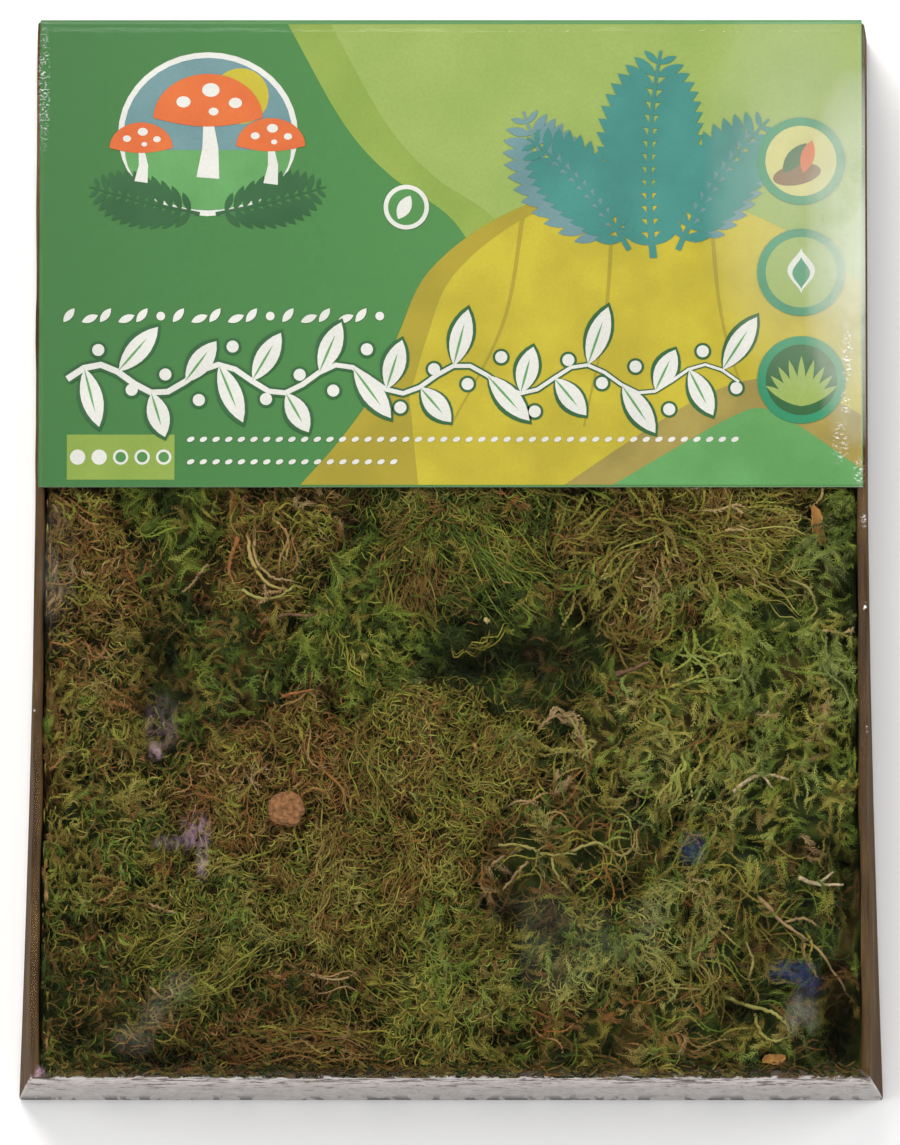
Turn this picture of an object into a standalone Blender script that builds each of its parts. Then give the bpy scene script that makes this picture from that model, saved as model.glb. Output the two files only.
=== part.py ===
"""A retail pack of dried terrarium moss, lying on its back.

A shallow brown card tray is filled with separate tufts of dried moss. A bark chip, a few twigs
and two leaf scraps lie loose on the moss. A printed header card covers the far part of the moss
and folds down over the tray's far wall. Clear shrink film closes the whole pack.

Units are metres. X runs across the pack, Y runs towards the header card's end and +Z is up.
The origin is under the middle of the pack, on the surface that it lies on.
"""

import math

import bmesh
import bpy
from mathutils import Vector, noise

# Driving dimensions of the tray: the film pulls the rim in, so the base is wider than the rim
TRAY_DEPTH = 0.0355
BOARD = 0.0022
RIM_LENGTH = 0.2620
BASE_LENGTH = 0.2660
RIM_WIDTH_FAR = 0.2044
RIM_WIDTH_NEAR = 0.2060
BASE_WIDTH_FAR = 0.2070
BASE_WIDTH_NEAR = 0.2136
FLARE_POWER = 1.5

# Header card
CARD_THICKNESS = 0.0005
CARD_WIDTH = 0.2030
CARD_EDGE_Y = 0.0150
CARD_FOLD_RADIUS = 0.0008
CARD_FLAP_LOW_Z = 0.0040

# Shrink film
FILM_THICKNESS = 0.0004
FILM_CROWN = 0.0022
FILM_HEADROOM = 0.0012
VENT_RADIUS = 0.0030
VENT_HEIGHT = 0.0200

# Clearance between pieces that touch
GAP = 0.0003

# Moss: the tufts fill the tray and their tops vary from lump to lump
MOSS_LOW_Z = 0.0315
MOSS_HIGH_Z = 0.0338
LUMP_HEIGHT = 0.0012
LUMP_SIZE = 0.0240
SHOULDER_STEPS = [(0.0030, 0.10), (0.0050, 0.04)]
LONGEST_EDGE = 0.0240

# Heights that follow from the sizes above
TRAY_BOTTOM = FILM_THICKNESS + GAP
TRAY_TOP = TRAY_BOTTOM + TRAY_DEPTH
MOSS_FLOOR = TRAY_BOTTOM + BOARD + GAP
CARD_UNDER = TRAY_TOP + GAP
FILM_END_GAP = CARD_THICKNESS + 2 * GAP
FLARE_START_Y = CARD_EDGE_Y

# Where the walls bend, as shares of half the length: the flare starts at the first
WALL_BENDS = [FLARE_START_Y / (BASE_LENGTH / 2), -0.2, -0.45, -0.7, -0.86]

# Each tuft's kind and the middle of its place in the tray
TUFTS = [
    ("rust", -0.0876, -0.0031),
    ("feather", -0.0692, 0.0068),
    ("rooty", -0.0459, -0.0018),
    ("feather", -0.0214, -0.0154),
    ("hair", 0.0007, -0.0006),
    ("cord", 0.0462, -0.0055),
    ("hair", 0.0756, 0.0068),
    ("feather", 0.0953, -0.0031),
    ("feather", 0.0781, -0.0228),
    ("feather", 0.0511, -0.0425),
    ("feather", 0.0879, -0.0548),
    ("hollow", 0.0167, -0.0252),
    ("hair", -0.0005, -0.0524),
    ("feather", -0.0876, -0.0351),
    ("feather", -0.0594, -0.0326),
    ("rust", -0.0471, -0.0548),
    ("curly", -0.0840, -0.0746),
    ("curly", -0.0643, -0.0943),
    ("hair", -0.0226, -0.0819),
    ("stem", 0.0290, -0.0770),
    ("feather", 0.0363, -0.0967),
    ("branch", 0.0805, -0.0943),
    ("curly", -0.0889, -0.1165),
    ("stem", -0.0373, -0.1226),
    ("feather", -0.0005, -0.1066),
    ("stem", 0.0462, -0.1214),
    ("feather", 0.0903, -0.1214),
    ("hidden", -0.0520, 0.0450),
    ("hidden", 0.0500, 0.0450),
    ("hidden", -0.0500, 0.1000),
    ("hidden", 0.0520, 0.0980),
]

# Each twig's two ends, its sideways bend and its thicker end's radius
TWIGS = [
    ("reddish_twig", (-0.0459, -0.0180), (-0.0300, -0.0150), 0.0012, 0.0006),
    ("brown_twig", (0.0407, -0.0312), (0.0491, -0.0280), 0.0004, 0.0007),
    ("short_twig", (-0.0415, -0.0366), (-0.0336, -0.0350), -0.0006, 0.0005),
    ("curved_stem", (-0.0545, -0.0082), (-0.0520, 0.0029), 0.0018, 0.0005),
    ("pale_branch", (0.0695, -0.0562), (0.0830, -0.0605), 0.0016, 0.0007),
    ("pale_root", (0.0854, -0.0812), (0.0965, -0.0830), -0.0012, 0.0007),
]

# Each leaf scrap's middle, turn about Z, length and width
LEAF_SCRAPS = [
    ("leaf_scrap_far", (0.0904, 0.0057), math.radians(75), 0.0100, 0.0028),
    ("leaf_scrap_near", (0.0793, -0.1227), math.radians(10), 0.0056, 0.0024),
]

# The bark chip
CHIP_MIDDLE = (-0.0398, -0.0652)
CHIP_SIZE = (0.0100, 0.0086, 0.0034)

KRAFT_BROWN = (0.30, 0.20, 0.12)
CARD_GREEN = (0.16, 0.40, 0.10)
FILM_CLEAR = (0.95, 0.97, 0.98)
BARK_BROWN = (0.22, 0.10, 0.05)
TWIG_COLOURS = {
    "reddish_twig": (0.20, 0.08, 0.04),
    "brown_twig": (0.12, 0.07, 0.03),
    "short_twig": (0.18, 0.07, 0.03),
    "curved_stem": (0.28, 0.12, 0.03),
    "pale_branch": (0.42, 0.36, 0.22),
    "pale_root": (0.40, 0.34, 0.20),
}
LEAF_ORANGE = (0.35, 0.16, 0.04)
MOSS_COLOURS = {
    "rust": (0.13, 0.07, 0.03),
    "feather": (0.09, 0.10, 0.02),
    "rooty": (0.16, 0.09, 0.03),
    "hair": (0.15, 0.14, 0.03),
    "cord": (0.12, 0.09, 0.03),
    "hollow": (0.04, 0.05, 0.01),
    "curly": (0.11, 0.11, 0.03),
    "stem": (0.10, 0.05, 0.02),
    "branch": (0.10, 0.09, 0.04),
    "hidden": (0.10, 0.09, 0.03),
}


def mix(start, end, share):
    return start + (end - start) * share


def share_between(value, start, end):
    return min(max((value - start) / (end - start), 0.0), 1.0)


def half_width(y, z):
    """Half the tray's outer width at a place along it and a height."""
    near = share_between(y, FLARE_START_Y, -BASE_LENGTH / 2) ** FLARE_POWER
    base = mix(BASE_WIDTH_FAR, BASE_WIDTH_NEAR, near) / 2
    rim = mix(RIM_WIDTH_FAR, RIM_WIDTH_NEAR, near) / 2
    return mix(base, rim, share_between(z, TRAY_BOTTOM, TRAY_TOP))


def half_length(z):
    """Half the tray's outer length at a height."""
    return mix(BASE_LENGTH, RIM_LENGTH, share_between(z, TRAY_BOTTOM, TRAY_TOP)) / 2


def moss_top(x, y):
    """Height of the moss, which is fullest in the middle of the window."""
    across = 1 - (2 * x / RIM_WIDTH_FAR) ** 4
    along = 1 - (2 * y / RIM_LENGTH) ** 4
    crown = max(across * along, 0.0)
    lump = noise.noise(Vector((x, y, 0.0)) / LUMP_SIZE)
    return mix(MOSS_LOW_Z, MOSS_HIGH_Z, crown) + LUMP_HEIGHT * lump


def clear_scene():
    for thing in list(bpy.data.objects):
        bpy.data.objects.remove(thing, do_unlink=True)


def new_collection(name):
    collection = bpy.data.collections.new(name)
    bpy.context.scene.collection.children.link(collection)
    return collection


def new_material(name, colour, roughness, transmission=0.0):
    material = bpy.data.materials.new(name)
    material.use_nodes = True
    shader = material.node_tree.nodes["Principled BSDF"]
    shader.inputs["Base Color"].default_value = (*colour, 1.0)
    shader.inputs["Roughness"].default_value = roughness
    shader.inputs["Metallic"].default_value = 0.0
    shader.inputs["Transmission Weight"].default_value = transmission
    return material


def new_object(name, data, material, collection):
    data.materials.append(material)
    thing = bpy.data.objects.new(name, data)
    collection.objects.link(thing)
    return thing


def mesh_from(bm, name):
    """A mesh from a bmesh, which is freed."""
    mesh = bpy.data.meshes.new(name)
    bm.to_mesh(mesh)
    bm.free()
    return mesh


def unit_box():
    """A box from -1 to 1 across and along, and from 0 to 1 in height."""
    bm = bmesh.new()
    bmesh.ops.create_cube(bm, size=2.0)
    for vert in bm.verts:
        vert.co.z = (vert.co.z + 1) / 2
    return bm


def slice_box(bm, normal, places):
    """Cut a box's faces by planes square to a direction, keeping both sides."""
    for place in places:
        everything = bm.verts[:] + bm.edges[:] + bm.faces[:]
        bmesh.ops.bisect_plane(bm, geom=everything, plane_co=Vector(normal) * place, plane_no=normal)


def solidify(thing, thickness, offset):
    modifier = thing.modifiers.new("Thickness", "SOLIDIFY")
    modifier.thickness = thickness
    modifier.offset = offset
    modifier.use_even_offset = True


def make_tray(collection):
    """The open tray: one outer skin with its board's thickness inward."""
    bm = unit_box()
    lid = [face for face in bm.faces if face.normal.z > 0.9]
    bmesh.ops.delete(bm, geom=lid, context="FACES_ONLY")
    slice_box(bm, (0, 1, 0), WALL_BENDS)
    for vert in bm.verts:
        z = mix(TRAY_BOTTOM, TRAY_TOP, vert.co.z)
        y = vert.co.y * half_length(z)
        vert.co = (vert.co.x * half_width(y, z), y, z)
    material = new_material("kraft_board", KRAFT_BROWN, 0.85)
    tray = new_object("tray", mesh_from(bm, "tray"), material, collection)
    solidify(tray, BOARD, -1.0)


def make_film(collection, cutters):
    """The film: a closed skin just outside the tray and the card, crowned over the moss."""
    bm = unit_box()
    slice_box(bm, (0, 1, 0), WALL_BENDS)
    slice_box(bm, (1, 0, 0), [-0.8, -0.4, 0.0, 0.4, 0.8])
    for vert in bm.verts:
        u, v, level = vert.co
        z = mix(TRAY_BOTTOM - GAP, TRAY_TOP, level)
        y = v * (half_length(z) + FILM_END_GAP)
        x = u * (half_width(y, z) + GAP)
        if level > 0.5:
            window = math.sin(math.pi * share_between(y, CARD_EDGE_Y, -BASE_LENGTH / 2))
            z += FILM_HEADROOM + FILM_CROWN * (1 - u * u) * window
        vert.co = (x, y, z)
    material = new_material("clear_film", FILM_CLEAR, 0.05, transmission=1.0)
    film = new_object("film", mesh_from(bm, "film"), material, collection)
    solidify(film, FILM_THICKNESS, 1.0)
    vent = bmesh.new()
    bmesh.ops.create_cone(
        vent, cap_ends=True, segments=16, radius1=VENT_RADIUS, radius2=VENT_RADIUS, depth=0.01
    )
    cutter = bpy.data.objects.new("vent_cutter", mesh_from(vent, "vent_cutter"))
    cutters.objects.link(cutter)
    cutter.rotation_euler = (math.pi / 2, 0, 0)
    cutter.location = (0, half_length(VENT_HEIGHT) + FILM_END_GAP, VENT_HEIGHT)
    cutter.hide_render = True
    cutter.display_type = "WIRE"
    cut = film.modifiers.new("Vent", "BOOLEAN")
    cut.operation = "DIFFERENCE"
    cut.object = cutter


def make_card(collection):
    """The header card: a flat panel on the rim and a flap down the far wall."""
    fold_y = RIM_LENGTH / 2 + GAP
    low_y = half_length(CARD_FLAP_LOW_Z) + GAP
    profile = [(CARD_EDGE_Y, CARD_UNDER), (fold_y, CARD_UNDER), (low_y, CARD_FLAP_LOW_Z)]
    bm = bmesh.new()
    points = [bm.verts.new((-CARD_WIDTH / 2, y, z)) for y, z in profile]
    edges = [bm.edges.new(pair) for pair in zip(points, points[1:])]
    grown = bmesh.ops.extrude_edge_only(bm, edges=edges)["geom"]
    moved = [part for part in grown if isinstance(part, bmesh.types.BMVert)]
    bmesh.ops.translate(bm, verts=moved, vec=(CARD_WIDTH, 0, 0))
    fold = [edge for edge in bm.edges if all(vert.co.y == edge.verts[0].co.y for vert in edge.verts)]
    fold = [edge for edge in fold if len(edge.link_faces) == 2]
    bmesh.ops.bevel(bm, geom=fold, offset=CARD_FOLD_RADIUS, segments=3, profile=0.5, affect="EDGES")
    bmesh.ops.recalc_face_normals(bm, faces=bm.faces)
    panel = max(bm.faces, key=lambda face: face.calc_area())
    if panel.normal.z < 0:
        bmesh.ops.reverse_faces(bm, faces=bm.faces)
    material = new_material("printed_card", CARD_GREEN, 0.35)
    card = new_object("header_card", mesh_from(bm, "header_card"), material, collection)
    solidify(card, CARD_THICKNESS, 1.0)


def keep_side(bm, point, normal):
    """Cut away everything on the side that the normal points to, and close the cut."""
    everything = bm.verts[:] + bm.edges[:] + bm.faces[:]
    cut = bmesh.ops.bisect_plane(
        bm, geom=everything, plane_co=point, plane_no=normal, clear_outer=True
    )["geom_cut"]
    rim = [part for part in cut if isinstance(part, bmesh.types.BMEdge)]
    if rim:
        bmesh.ops.contextual_create(bm, geom=rim)


def top_face(bm):
    return max(bm.faces, key=lambda face: face.calc_center_median().z)


def step_in(bm, distance, rise):
    """Grow a narrower step on top, so that the tuft's shoulder is rounded."""
    top = top_face(bm)
    grown = bmesh.ops.extrude_face_region(bm, geom=[top])["geom"]
    bmesh.ops.delete(bm, geom=[top], context="FACES_ONLY")
    ring = [part for part in grown if isinstance(part, bmesh.types.BMVert)]
    middle = sum((vert.co for vert in ring), Vector()) / len(ring)
    reach = sum((vert.co - middle).length for vert in ring) / len(ring)
    for vert in ring:
        vert.co = middle.lerp(vert.co, 1 - distance / reach)
        vert.co.z += rise


def make_tuft(name, kind, middle, others, collection):
    """One tuft: the part of the tray's inside nearest to its middle, with a rounded top."""
    inner_width = RIM_WIDTH_FAR / 2 - BOARD - GAP
    inner_length = RIM_LENGTH / 2 - BOARD - GAP
    bm = unit_box()
    for vert in bm.verts:
        vert.co.x *= inner_width
        vert.co.y *= inner_length
    for other in others:
        towards = (other - middle).normalized()
        keep_side(bm, (middle + other) / 2 - towards * GAP / 2, towards)
    for distance, rise in SHOULDER_STEPS:
        step_in(bm, distance, rise)
    bmesh.ops.poke(bm, faces=[top_face(bm)])
    for vert in bm.verts:
        vert.co.z /= 1 + sum(rise for _, rise in SHOULDER_STEPS)
    slice_box(bm, (0, 0, 1), [0.5])
    long_edges = [edge for edge in bm.edges if LONGEST_EDGE < edge.calc_length() < 0.5]
    bmesh.ops.subdivide_edges(bm, edges=long_edges, cuts=1)
    bmesh.ops.triangulate(bm, faces=bm.faces)
    for vert in bm.verts:
        x, y, level = vert.co
        z = mix(MOSS_FLOOR, moss_top(x, y), level)
        vert.co = (x * (half_width(y, z) - BOARD - 2 * GAP) / inner_width, y, z)
    material = new_material(name, MOSS_COLOURS[kind], 0.95)
    new_object(name, mesh_from(bm, name), material, collection)


def make_tufts(collection):
    middles = [Vector((x, y, 0)) for _, x, y in TUFTS]
    for index, (kind, _, _) in enumerate(TUFTS):
        others = middles[:index] + middles[index + 1 :]
        make_tuft(f"{kind}_moss_{index + 1:02d}", kind, middles[index], others, collection)


def rest_height(points):
    """The moss's highest point under some places, with room for its facets."""
    return max(moss_top(x, y) for x, y in points) + 2 * GAP


def make_twig(name, start, end, bend, radius, collection):
    """A tapered twig in a shallow arc, lying on the moss."""
    start = Vector(start)
    end = Vector(end)
    side = Vector((start.y - end.y, end.x - start.x)).normalized()
    steps = 6
    places = []
    for step in range(steps + 1):
        share = step / steps
        places.append(start.lerp(end, share) + side * bend * math.sin(math.pi * share))
    height = rest_height(places) + radius
    curve = bpy.data.curves.new(name, "CURVE")
    curve.dimensions = "3D"
    curve.bevel_depth = radius
    curve.bevel_resolution = 1
    curve.use_fill_caps = True
    spline = curve.splines.new("POLY")
    spline.points.add(steps)
    for step, (point, place) in enumerate(zip(spline.points, places)):
        point.co = (place.x, place.y, height, 1.0)
        point.radius = mix(1.0, 0.5, step / steps)
    new_object(name, curve, new_material(name, TWIG_COLOURS[name], 0.8), collection)


def make_leaf_scrap(name, middle, turn, length, width, collection):
    """A dry leaf scrap: a pointed strip, curled across its width."""
    bm = bmesh.new()
    bmesh.ops.create_grid(bm, x_segments=6, y_segments=2, size=1.0)
    reach = length / 2
    corners = [(middle[0] + dx, middle[1] + dy) for dx in (-reach, reach) for dy in (-reach, reach)]
    height = rest_height(corners)
    for vert in bm.verts:
        u, v, _ = vert.co
        taper = 0.25 + 0.75 * math.cos(u * math.pi / 2)
        vert.co = (u * reach, v * taper * width / 2, height + width * v * v / 4)
    leaf = new_object(name, mesh_from(bm, name), new_material(name, LEAF_ORANGE, 0.7), collection)
    leaf.location = (middle[0], middle[1], 0)
    leaf.rotation_euler = (0, 0, turn)
    solidify(leaf, GAP, 1.0)


def make_bark_chip(collection):
    """A flat angular chip of bark."""
    bm = bmesh.new()
    bmesh.ops.create_icosphere(bm, subdivisions=2, radius=0.5)
    for vert in bm.verts:
        rough = 1 + 0.25 * noise.noise(vert.co * 3.0)
        vert.co = [part * rough * size for part, size in zip(vert.co, CHIP_SIZE)]
    material = new_material("bark", BARK_BROWN, 0.9)
    chip = new_object("bark_chip", mesh_from(bm, "bark_chip"), material, collection)
    reach = CHIP_SIZE[0] / 2
    around = [
        (CHIP_MIDDLE[0] + reach * math.cos(turn), CHIP_MIDDLE[1] + reach * math.sin(turn))
        for turn in [math.radians(45 * step) for step in range(8)]
    ]
    low = min(vert.co.z for vert in chip.data.vertices)
    chip.location = (*CHIP_MIDDLE, rest_height(around + [CHIP_MIDDLE]) - low)


def main():
    clear_scene()
    parts = new_collection("moss_pack")
    cutters = new_collection("cutters")
    make_tray(parts)
    make_film(parts, cutters)
    make_card(parts)
    make_tufts(parts)
    for twig in TWIGS:
        make_twig(*twig, parts)
    for scrap in LEAF_SCRAPS:
        make_leaf_scrap(*scrap, parts)
    make_bark_chip(parts)


main()
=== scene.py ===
"""The looks of a pack of dried terrarium moss: camera, light, tray, card, film and strands of moss.

Units are metres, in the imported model's own frame. X runs across the pack, Y towards the header
card's end and +Z is up. Sizes that the CAD script also has carry the same names here.
"""

import math

import bmesh
import bpy
import numpy as np
from mathutils import Matrix, Vector


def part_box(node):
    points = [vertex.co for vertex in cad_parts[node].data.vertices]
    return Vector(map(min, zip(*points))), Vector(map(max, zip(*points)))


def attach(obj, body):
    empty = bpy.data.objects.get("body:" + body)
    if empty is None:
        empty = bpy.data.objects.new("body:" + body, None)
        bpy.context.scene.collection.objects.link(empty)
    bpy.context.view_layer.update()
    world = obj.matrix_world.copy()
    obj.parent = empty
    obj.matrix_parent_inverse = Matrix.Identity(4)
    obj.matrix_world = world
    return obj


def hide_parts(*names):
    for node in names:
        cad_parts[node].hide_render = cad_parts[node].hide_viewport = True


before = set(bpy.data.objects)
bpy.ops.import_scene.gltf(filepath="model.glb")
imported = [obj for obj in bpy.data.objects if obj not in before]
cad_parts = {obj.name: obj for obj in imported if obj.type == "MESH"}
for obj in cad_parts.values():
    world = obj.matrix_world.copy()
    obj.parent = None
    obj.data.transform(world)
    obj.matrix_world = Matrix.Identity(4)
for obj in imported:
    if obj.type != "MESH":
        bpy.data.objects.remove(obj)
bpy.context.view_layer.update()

# The photograph's frame and the camera that took it
PHOTO_SIZE = (900, 1145)
CAMERA_PLACE = Vector((0.0250, -0.4890, 3.5728))
CAMERA_TARGET = Vector((-0.00025, -0.00395, 0.0200))
FOCAL_PIXELS = 14511.5
SENSOR_SIZE = 36.0

# Tray
TRAY_DEPTH = 0.0355
BOARD = 0.0022
RIM_LENGTH = 0.2620
BASE_LENGTH = 0.2660
RIM_WIDTH_FAR = 0.2044
RIM_WIDTH_NEAR = 0.2060
BASE_WIDTH_FAR = 0.2070
BASE_WIDTH_NEAR = 0.2136
FLARE_POWER = 1.5

# Header card
CARD_THICKNESS = 0.0005
CARD_WIDTH = 0.2030
CARD_EDGE_Y = 0.0150

# Shrink film
FILM_THICKNESS = 0.0004
FILM_CROWN = 0.0022

GAP = 0.0003

# Heights and places that follow from the sizes above
TRAY_BOTTOM = FILM_THICKNESS + GAP
TRAY_TOP = TRAY_BOTTOM + TRAY_DEPTH
CARD_TOP = TRAY_TOP + GAP + CARD_THICKNESS
CARD_FAR_Y = RIM_LENGTH / 2
FLARE_START_Y = CARD_EDGE_Y

# Moss: the mean height of its surface and how the surface rises and falls
MOSS_TOP = 0.0340
MOSS_FLOOR = TRAY_BOTTOM + BOARD + GAP
MOSS_CEILING = 0.0369
CARD_CEILING = TRAY_TOP - 0.0002
LUMP_HEIGHT = 0.0010
LUMP_SIZE = 0.0300
BUMP_HEIGHT = 0.0006
BUMP_SIZE = 0.0080
VALLEY_DEPTH = 0.0026
VALLEY_WIDTH = 0.0040
BORDER_WANDER = 0.0022
MAT_DEPTH = 0.0042
HIDDEN_Y = CARD_EDGE_Y + 0.0060
HIDDEN_SHARE = 0.04
NEAR_OVERHANG = 0.8

# Where each kind of colour lies on the moss colour ramp, and its albedo there
TONES = {
    "deep": (0.00, (0.024, 0.038, 0.007)),
    "green": (0.14, (0.078, 0.122, 0.015)),
    "bright": (0.28, (0.165, 0.215, 0.028)),
    "yellow": (0.42, (0.245, 0.222, 0.036)),
    "olive": (0.56, (0.165, 0.130, 0.025)),
    "brown": (0.70, (0.130, 0.074, 0.020)),
    "rust": (0.84, (0.235, 0.098, 0.026)),
    "pale": (1.00, (0.330, 0.235, 0.115)),
}
# A pale colour mixed into the lightest parts of the moss as a painted highlight
MOSS_HIGHLIGHT_COLOUR = (0.30, 0.31, 0.10, 1.0)
TONE_SPREAD = 0.055
TONE_DRIFT = 0.07
LIGHT_DRIFT = 0.06

# Each style of strand. Lengths and widths are in metres and angles in radians. A strand with
# leaves is a stem with a pair of leaves at each joint; density is in strands to a square
# millimetre, and a lock is the number of strands that grow together.
STYLES = {
    "feather": {
        "length": (0.0040, 0.0095), "curl": 1.5, "wiggle": 0.40, "joints": 13, "stem": 0.00026,
        "leaf": 0.00115, "leaf_width": 0.00027, "leaf_angle": 0.80, "lock": 4, "lock_size": 0.0017,
        "density": 0.34, "lift": 0.0012, "folded": False,
    },
    "hair": {
        "length": (0.0050, 0.0120), "curl": 1.7, "wiggle": 0.60, "joints": 8, "stem": 0.00019,
        "leaf": 0.0, "leaf_width": 0.0, "leaf_angle": 0.0, "lock": 7, "lock_size": 0.0019,
        "density": 1.55, "lift": 0.0008, "folded": False,
    },
    "fuzz": {
        "length": (0.0022, 0.0060), "curl": 2.2, "wiggle": 0.30, "joints": 5, "stem": 0.00029,
        "leaf": 0.0, "leaf_width": 0.0, "leaf_angle": 0.0, "lock": 4, "lock_size": 0.0024,
        "density": 4.20, "lift": 0.0010, "folded": False,
    },
    "cord": {
        "length": (0.0090, 0.0190), "curl": 1.2, "wiggle": 0.45, "joints": 16, "stem": 0.00034,
        "leaf": 0.00095, "leaf_width": 0.00040, "leaf_angle": 0.42, "lock": 4, "lock_size": 0.0022,
        "density": 0.21, "lift": 0.0014, "folded": True,
    },
    "curly": {
        "length": (0.0045, 0.0100), "curl": 3.0, "wiggle": 0.50, "joints": 12, "stem": 0.00026,
        "leaf": 0.00085, "leaf_width": 0.00028, "leaf_angle": 0.65, "lock": 4, "lock_size": 0.0018,
        "density": 0.35, "lift": 0.0013, "folded": False,
    },
    "stem": {
        "length": (0.0080, 0.0190), "curl": 0.9, "wiggle": 0.50, "joints": 12, "stem": 0.00034,
        "leaf": 0.00065, "leaf_width": 0.00024, "leaf_angle": 0.75, "lock": 3, "lock_size": 0.0017,
        "density": 0.25, "lift": 0.0010, "folded": True,
    },
}
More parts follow.
